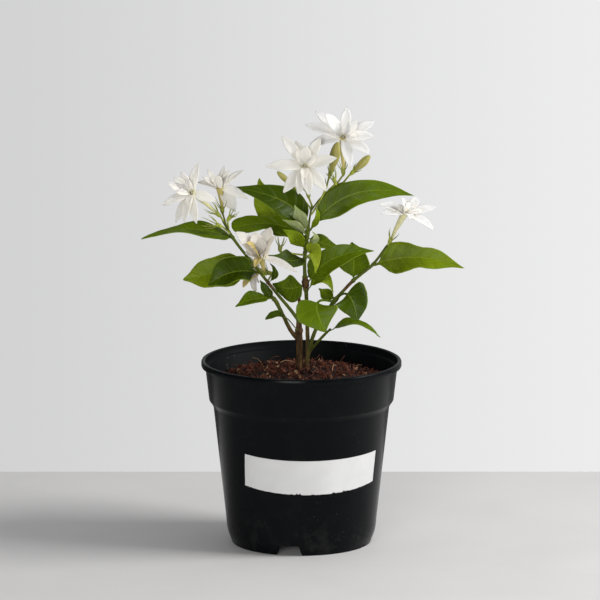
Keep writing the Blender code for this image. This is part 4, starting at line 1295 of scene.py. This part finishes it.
Flower = namedtuple(
    "Flower", "number route height cup centre facing tips petal_width lobe tube skin old",
    defaults=("cream", "open", ()))
FLOWERS = [
    Flower(1, "left_long", 213.5, (-53.5, -15, 218.5), (-71, -20, 234), (-0.45, -0.8, 0.4), [
        (5, 2, 18.5), (-6, -2, 13.5), (-10.5, -4, 10.5), (-14.5, -5, 6.5), (-18, -6, -7.5),
        (-9.5, -6, -19), (-4, -9, -18), (4, -7, -19.5), (16.5, 1, -6, 7)], 6.0, 9),
    Flower(2, "left_long", 210, (-51, -6, 219.5), (-52.5, -12, 236), (-0.1, -0.45, 0.9), [
        (-14, 2, 2.5), (-8, 4, 10.5), (-1, -8, 9), (6.5, -2, 11), (15.5, 2, 10.5),
        (18, 2, -8, 7), (10, 8, -18, 9), (-11, 0, 6.5), (3, 4, 13)], 4.6, 9, "deep"),
    Flower(3, "centre", 221.5, (4.5, -5, 229.5), (2, -14, 250.5), (0, -0.85, 0.5), [
        (-14.5, 2, 18.5), (-5.5, 5, 15), (1, -5, 13.5), (10.5, -1, 18), (21, -2, 5),
        (14.5, -6, -16), (3, -10, -18), (-4, -9, -17.5), (-13.5, -7, -17), (-24.5, -4, 0)], 7.6, 8),
    Flower(4, "cluster_right", 234.3, (27, 0.5, 243.5), (27, -8, 268.5), (0.1, -0.8, 0.6), [
        (-24.5, -1, 7.5), (-18, 3, 15.5), (-11.5, -5, 15.5), (2.5, 0, 19), (9, -7, 11),
        (20.5, 4, 8.5), (20, -3, 0), (17.5, -7, -10.5), (4.5, -9, -19), (-21.5, 4, -6)],
           7.2, 8, "deep", "fresh"),
    Flower(5, "right_long", 197, (57.2, -8.2, 199.8), (67.5, -13, 220), (0.5, -0.35, 0.8), [
        (-17.5, -7, 6), (-16, -10, 0.5), (-3, -9, 10), (2, 5, 7), (8, 3, 9),
        (19.5, 3, 2), (18, -4, -11.5), (2.5, -13, -2.5)], 6.2, 8, "cream", "fresh"),
    Flower(6, "left_long", 176.5, (-23.5, -11, 179.5), (-26, -17, 192), (-0.1, -0.2, 0.97), [
        (6.5, 2, 18), (-4, 0, 15), (-16, -3, 16), (-9, -9, 10, 9), (23, -4, -10, 5.5),
        (10, -8, 14, 9), (-4, -9, -6, 5), (1.5, 9, 11.5), (-10, -4, 2, 8)],
           11.0, 6, "deep", "fading", (3, 6)),
    Flower(7, "left_long", 172.5, (-20.5, 3.5, 176.5), (-29.5, 1.5, 178.5), (-0.95, -0.3, 0.15), [
        (0, 1, -15), (-8, -6, -10), (2, 10, -10), (-9, 9, 1), (-4, 6, 8), (3, -1, 12)],
           6.2, 5, "deep", "fading", (1,)),
]
Bud = namedtuple("Bud", "number route height cup tip radius lobe")
BUDS = [
    Bud(8, "cluster_right", 236.5, (33, -1, 243.5), (44.5, -4, 255), 2.7, 6),
    Bud(9, "cluster_right", 229, (18.5, 7, 241), (24, 8, 262), 3.6, 5),
    Bud(10, "centre", 219, (-5.5, 5, 233), (-15.5, 3, 243.5), 2.0, 5),
]
Spent = namedtuple("Spent", "number route height cup aim lobe")
SPENT_CUPS = [
    Spent(11, "centre", 215.5, (15.3, -3, 234), (15, -3, 240), 5),
    Spent(12, "cluster_right", 231.5, (21.5, -2.5, 238), (18, -2, 247), 7),
    Spent(13, "centre", 189, (-13.8, -3, 194), (-13, -2, 201), 8),
    Spent(14, "left_long", 205.5, (-53, -19, 212), (-66, -23, 217), 11),
    Spent(15, "left_long", 208, (-46.5, -9, 215), (-42, -10, 221), 6),
]
PETAL_LENGTH = 0.02
PETAL_WIDTH = 0.006
PETAL_SHAPE = ((0, 0.46), (0.12, 0.60), (0.26, 0.86), (0.38, 0.99), (0.48, 1.0), (0.60, 0.91),
               (0.72, 0.73), (0.83, 0.49), (0.92, 0.25), (0.97, 0.10), (1, 0.01))
PETAL_COLUMNS = 22
PETAL_ROWS = 8
PETAL_GROOVE = 0.0002
CUP_DEPTH = 0.0020
THROAT_RADIUS = 0.0024
STALK_RADIUS = 0.00055
LOBES = 6
BUD_SEAMS = 5
# Petals turn a little towards the front of the plant
TO_THE_LIGHT = Vector((0, -0.6, 0.15))
PETAL_ARCH = 0.0015
PETAL_ROOT = 0.0012
INNER_PETALS = 3
INNER_RISE = 3.0
INNER_WIDTH = 0.75
# Round things have no face of their own, so they face a way in which no line runs
ROUND_FACING = Vector((0.3, 1, 0.2))


def bend_of(centre, cup, facing):
    """Where the tube would meet the line on which the flower faces."""
    return centre - facing * 0.4 * (centre - cup).length


def map_along(piece, length):
    """Give a turned piece a map that runs from 0 at its foot to 1 at its end."""
    layer = piece.data.uv_layers.new(name="UVMap")
    for loop in piece.data.loops:
        layer.data[loop.index].uv = (piece.data.vertices[loop.vertex_index].co.x / length, 0.5)


def make_tube(cup, centre, facing):
    """The corolla's tube: narrow in its cup, opening to a round throat."""
    length = (centre - cup).length
    profile = [
        (0.0, 0.0002), (0.0007, 0.0002), (0.0008, CUP_DEPTH), (0.0012, 0.35 * length),
        (0.0017, 0.6 * length), (0.0021, 0.8 * length), (0.0024, length - 0.0012), (THROAT_RADIUS, length),
        (THROAT_RADIUS - 0.0003, length + 0.0001), (0.0018, length - 0.0014), (0.0011, length - 0.0040),
        (0.0, length - 0.0048)]
    tube = turned("tube", profile, 18, axis="X")
    map_along(tube, length)
    line = drawn_line(cup, bend_of(centre, cup, facing), centre)
    bend_along(tube, line, ROUND_FACING, stations=7)
    return tube


def petal_line(centre, facing, tip):
    """The middle line of a petal, from the throat's rim over its arch to the tip."""
    outwards = tip - facing * tip.dot(facing)
    outwards.normalize()
    start = centre + outwards * THROAT_RADIUS * 0.45 - facing * PETAL_ROOT
    end = centre + tip
    via = start.lerp(end, 0.5) + facing * PETAL_ARCH
    return bent_line(start, via, end), facing - 0.35 * outwards + TO_THE_LIGHT


class JASMINE_OT_corollas(bpy.types.Operator):
    """Build the open flowers: a tube each, with petals bent to their places round its throat"""
    bl_idname = "jasmine.corollas"
    bl_label = "Corollas"

    def execute(self, context):
        flowers = context.scene.jasmine_flowers
        master = make_blade(
            "petal", PETAL_SHAPE, PETAL_LENGTH, PETAL_WIDTH, PETAL_COLUMNS, PETAL_ROWS, PETAL_GROOVE)
        # Fresh and open petals differ partly by age and partly by painted light: painted backlight on the
        # white, painted shade on the cream.
        petals_of = {
            "fresh": petal_skin("fresh petal", flowers.white, flowers.throat),
            "open": petal_skin("open petal", flowers.cream, flowers.throat),
            "fading": petal_skin("fading petal", flowers.fading, flowers.throat),
            "wilted": petal_skin("wilted petal", flowers.wilted, flowers.tube),
        }
        tubes = {
            "cream": tube_skin("cream tube", flowers.white, flowers.cream_tube),
            "deep": tube_skin("deep tube", flowers.throat, flowers.tube),
        }
        for flower in FLOWERS:
            cup, centre = Vector(flower.cup) * MM, Vector(flower.centre) * MM
            facing = Vector(flower.facing).normalized()
            tube = make_tube(cup, centre, facing)
            paint(tube, tubes[flower.tube])
            petals = []
            outer = [(tip[:3], tip[3] if len(tip) > 3 else flower.petal_width) for tip in flower.tips]
            inner = [
                (tip, flower.petal_width * INNER_WIDTH)
                for tip in self.inner_tips(flower.tips, facing)]
            for number, (tip, width) in enumerate(outer + inner):
                petal = copy_of(master, f"petal_{flower.number}_{number}")
                line, lift = petal_line(centre, facing, Vector(tip) * MM)
                curl = 0.25 * MM * (number % 3)
                bend_along(
                    petal, line, lift, width * MM / PETAL_WIDTH, 18 - 6 * (number % 3),
                    lambda t, side: -curl * side * t, stations=7)
                finish_with(
                    petal, "SOLIDIFY", thickness=flowers.petal_thickness, offset=0.0)
                paint(petal, petals_of["wilted" if number in flower.old else flower.skin])
                petals.append(petal)
            piece = join([tube] + petals + [self.stigma(centre, facing)], f"flower_{flower.number}")
            place(piece, "petal", f"corolla_{flower.number}")
        drop(master)
        return {"FINISHED"}

    def inner_tips(self, tips, facing):
        """The tips of a few short, upright petals inside the others."""
        inner = []
        for index in range(INNER_PETALS):
            first = index * len(tips) // INNER_PETALS
            near, other = Vector(tips[first][:3]), Vector(tips[(first + 1) % len(tips)][:3])
            inner.append((near + other) * 0.25 + facing * INNER_RISE)
        return inner

    def stigma(self, centre, facing):
        """The small pale tip of the style in the throat."""
        bpy.ops.mesh.primitive_uv_sphere_add(segments=10, ring_count=8, radius=0.0005)
        tip = bpy.context.object
        with editing(tip):
            reshape((1, 1, 2.4))
        return stand(tip, centre - facing * 0.0020, facing)


def make_stalk(start, via, end, radius):
    """A flower stalk as a thin tapering rod."""
    length = (Vector(end) - Vector(start)).length
    rod = turned("stalk", [
        (0.0, 0.0), (radius * 1.25, 0.0), (radius, 0.15 * length), (radius * 0.95, 0.8 * length),
        (radius * 1.3, length), (0.0, length)], 12, axis="X")
    bend_along(rod, bent_line(start, via, end), ROUND_FACING, stations=5)
    return rod


def make_cup(cup, axis):
    """The cup that holds a flower, hollow at its top."""
    shell = turned("cup", [
        (0.0, -0.0021), (0.0008, -0.0021), (0.0012, -0.0012), (0.0014, 0.0), (0.00148, 0.0012),
        (0.00142, CUP_DEPTH), (0.00118, CUP_DEPTH), (0.00105, 0.0), (0.0, -0.0003)], 20)
    return stand(shell, cup, axis)


def make_lobe_master():
    """One awl-shaped lobe, drawn along X."""
    return turned("lobe", [
        (0.0, 0.0), (0.00036, 0.0001), (0.00032, 0.0015), (0.00026, 0.0035), (0.00018, 0.0058),
        (0.00009, 0.0078), (0.0, 0.0085)], 8, axis="X")


def make_calyx(number, route, height, cup, aim, lobe, lobe_master):
    """A stalk, its cup and the spreading lobes round the cup's rim."""
    cup, aim = Vector(cup) * MM, Vector(aim) * MM
    axis = (aim - cup).normalized()
    start = grow_point(route, height, Vector(cup) / MM) * MM
    via = start.lerp(cup, 0.5) - axis * 0.12 * (cup - start).length + UP * 0.0004
    parts = [make_cup(cup, axis), make_stalk(start, via, cup - axis * 0.0019, STALK_RADIUS)]
    first = axis.orthogonal().normalized()
    second = axis.cross(first)
    for index in range(LOBES):
        turn = math.tau * (index + 0.3 * (number % 3)) / LOBES
        outwards = first * math.cos(turn) + second * math.sin(turn)
        reach = lobe * MM * (1 - 0.12 * (index % 3))
        root = cup + outwards * 0.00128 + axis * (CUP_DEPTH - 0.0004)
        tip = root + outwards * 0.42 * reach + axis * 0.88 * reach
        middle = root.lerp(tip, 0.5) + outwards * 0.06 * reach
        spike = copy_of(lobe_master, f"lobe_{number}_{index}")
        bend_along(spike, bent_line(root, middle, tip), outwards, stations=4)
        parts.append(spike)
    return join(parts, f"cup_{number}")


class JASMINE_OT_calyxes(bpy.types.Operator):
    """Grow the flower stalks with their cups and lobes, spent ones too"""
    bl_idname = "jasmine.calyxes"
    bl_label = "Calyxes"

    def execute(self, context):
        flowers = context.scene.jasmine_flowers
        skin = green_skin(flowers.calyx)
        lobe_master = make_lobe_master()
        grown = [
            (f.number, f.route, f.height, f.cup,
             bend_of(Vector(f.centre), Vector(f.cup), Vector(f.facing).normalized()), f.lobe)
            for f in FLOWERS]
        grown += [(b.number, b.route, b.height, b.cup, b.tip, b.lobe) for b in BUDS]
        grown += [tuple(spent) for spent in SPENT_CUPS]
        for row in grown:
            piece = make_calyx(*row, lobe_master)
            paint(piece, skin)
            place(piece, "calyx", f"calyx_{row[0]}", angle=50)
        drop(lobe_master)
        return {"FINISHED"}


class JASMINE_OT_buds(bpy.types.Operator):
    """Turn the closed buds, with the seams of their rolled petals"""
    bl_idname = "jasmine.buds"
    bl_label = "Buds"

    def execute(self, context):
        flowers = context.scene.jasmine_flowers
        skin = tube_skin("bud", flowers.bud_tip, flowers.bud)
        for bud in BUDS:
            cup, tip = Vector(bud.cup) * MM, Vector(bud.tip) * MM
            length, radius = (tip - cup).length, bud.radius * MM
            piece = turned(f"closed_bud_{bud.number}", [
                (0.0, 0.0002), (0.0007, 0.0002), (0.0008, CUP_DEPTH), (radius * 0.52, 0.24 * length),
                (radius * 0.84, 0.42 * length), (radius, 0.58 * length), (radius * 0.92, 0.72 * length),
                (radius * 0.66, 0.86 * length), (radius * 0.30, 0.96 * length), (0.0, length)], 24, axis="X")
            map_along(piece, length)
            self.seam(piece)
            bend_along(piece, bent_line(cup, cup.lerp(tip, 0.5), tip), Vector((0.2, 1, 0)), stations=5)
            finish_with(piece, "SUBSURF", levels=1, render_levels=1)
            paint(piece, skin)
            place(piece, "bud", f"bud_{bud.number}")
        return {"FINISHED"}

    def seam(self, piece):
        """Press in the spiral seams."""
        with editing(piece):
            choose(lambda co: co.x > 0.003 and (
                math.atan2(co.z, co.y) + co.x * 90) % (math.tau / BUD_SEAMS) < 0.28)
            bpy.ops.transform.resize(value=(1, 0.86, 0.86), center_override=(0, 0, 0))


# Stage

TABLE_BACK = 0.20
TABLE_REACH = 1.6
TABLE_THICKNESS = 0.03
LIT_SPOT = Vector((0, 0, 0.13))
AIM_SIDEWAYS = -0.0009
FILM_WIDTH = 36


class JASMINE_OT_stage(bpy.types.Operator):
    """Set the plain pale table, the soft light and the camera"""
    bl_idname = "jasmine.stage"
    bl_label = "Stage"

    def execute(self, context):
        stage = context.scene.jasmine_stage
        bpy.ops.mesh.primitive_plane_add(size=1)
        table = named(bpy.context.object, "table")
        with editing(table):
            reshape(
                (2 * TABLE_REACH, TABLE_REACH + TABLE_BACK, 1), (0, (TABLE_BACK - TABLE_REACH) / 2, 0))
            bpy.ops.mesh.extrude_region_move(TRANSFORM_OT_translate={"value": (0, 0, -TABLE_THICKNESS)})
        tidy_surface(table, 30)
        paint(table, table_skin(stage.table))
        self.light("key", (1.25, -0.2, 0.85), 0.7, stage.key)
        self.light("fill", (-0.5, -2.3, 0.45), 1.0, stage.fill)
        self.world(context, stage)
        self.camera(context, stage)
        context.scene.view_settings.view_transform = "Standard"
        return {"FINISHED"}

    def light(self, name, location, size, power):
        """A soft square light that looks at the plant."""
        bpy.ops.object.light_add(type="AREA", location=location)
        lamp = named(bpy.context.object, name)
        lamp.data.shape = "SQUARE"
        lamp.data.size = size
        lamp.data.energy = power
        towards = LIT_SPOT - Vector(location)
        lamp.rotation_euler = towards.to_track_quat("-Z", "Y").to_euler()
        lamp.visible_camera = False

    def world(self, context, stage):
        """The light of the room, and the plain wall that the camera sees."""
        world = bpy.data.worlds.new("studio")
        world.use_nodes = True
        sky = Nodes(world.node_tree)
        x, y, z = sky.axes(sky.node("ShaderNodeTexCoord", {}, {}, "Generated"))
        light = sky.blend((x * 0.45 + y * 0.45 + z * 0.75).between(-0.1, 1.0), stage.shade, stage.glow)
        wall = sky.blend(x.between(-0.08, 0.08), stage.wall, stage.wall_light)
        seen = sky.node("ShaderNodeLightPath", {}, {}, "Is Camera Ray")
        sky.join(sky.blend(seen, light, wall), world.node_tree.nodes["Background"].inputs["Color"])
        context.scene.world = world

    def camera(self, context, stage):
        """A long lens in front of the plant and a little above it."""
        aim = Vector((AIM_SIDEWAYS, 0, stage.aim))
        back = Vector((0, -math.cos(stage.elevation), math.sin(stage.elevation)))
        bpy.ops.object.camera_add(
            location=aim + back * stage.distance, rotation=(math.pi / 2 - stage.elevation, 0, 0))
        camera = named(bpy.context.object, "camera")
        camera.data.sensor_width = FILM_WIDTH
        camera.data.lens = FILM_WIDTH * stage.distance / stage.view_width
        camera.data.clip_end = 20
        context.scene.camera = camera


class JASMINE_PT_panel(bpy.types.Panel):
    """The steps of the build and their settings"""
    bl_label = "Potted Jasmine"
    bl_idname = "JASMINE_PT_panel"
    bl_space_type = "VIEW_3D"
    bl_region_type = "UI"
    bl_category = "Jasmine"

    def draw(self, context):
        for step, settings in STEPS:
            box = self.layout.box()
            box.operator(step.bl_idname)
            group = getattr(context.scene, settings)
            for name in group.bl_rna.properties.keys():
                if name not in ("rna_type", "name"):
                    box.prop(group, name)


STEPS = (
    (JASMINE_OT_stage, "jasmine_stage"),
    (JASMINE_OT_pot, "jasmine_pot"),
    (JASMINE_OT_label, "jasmine_label"),
    (JASMINE_OT_mix, "jasmine_mix"),
    (JASMINE_OT_stems, "jasmine_stems"),
    (JASMINE_OT_leaves, "jasmine_leaves"),
    (JASMINE_OT_calyxes, "jasmine_flowers"),
    (JASMINE_OT_corollas, "jasmine_flowers"),
    (JASMINE_OT_buds, "jasmine_flowers"),
)
SETTINGS = {
    "jasmine_stage": StageSettings,
    "jasmine_pot": PotSettings,
    "jasmine_label": LabelSettings,
    "jasmine_mix": MixSettings,
    "jasmine_stems": StemSettings,
    "jasmine_leaves": LeafSettings,
    "jasmine_flowers": FlowerSettings,
}


def register():
    for name, group in SETTINGS.items():
        bpy.utils.register_class(group)
        setattr(bpy.types.Scene, name, bpy.props.PointerProperty(type=group))
    for step, _ in STEPS:
        bpy.utils.register_class(step)
    bpy.utils.register_class(JASMINE_PT_panel)


def unregister():
    bpy.utils.unregister_class(JASMINE_PT_panel)
    for step, _ in reversed(STEPS):
        bpy.utils.unregister_class(step)
    for name, group in SETTINGS.items():
        delattr(bpy.types.Scene, name)
        bpy.utils.unregister_class(group)


def main():
    register()
    bpy.ops.object.select_all(action="DESELECT")
    for step, _ in STEPS:
        group, name = step.bl_idname.split(".")
        getattr(getattr(bpy.ops, group), name)()


if __name__ == "__main__":
    main()
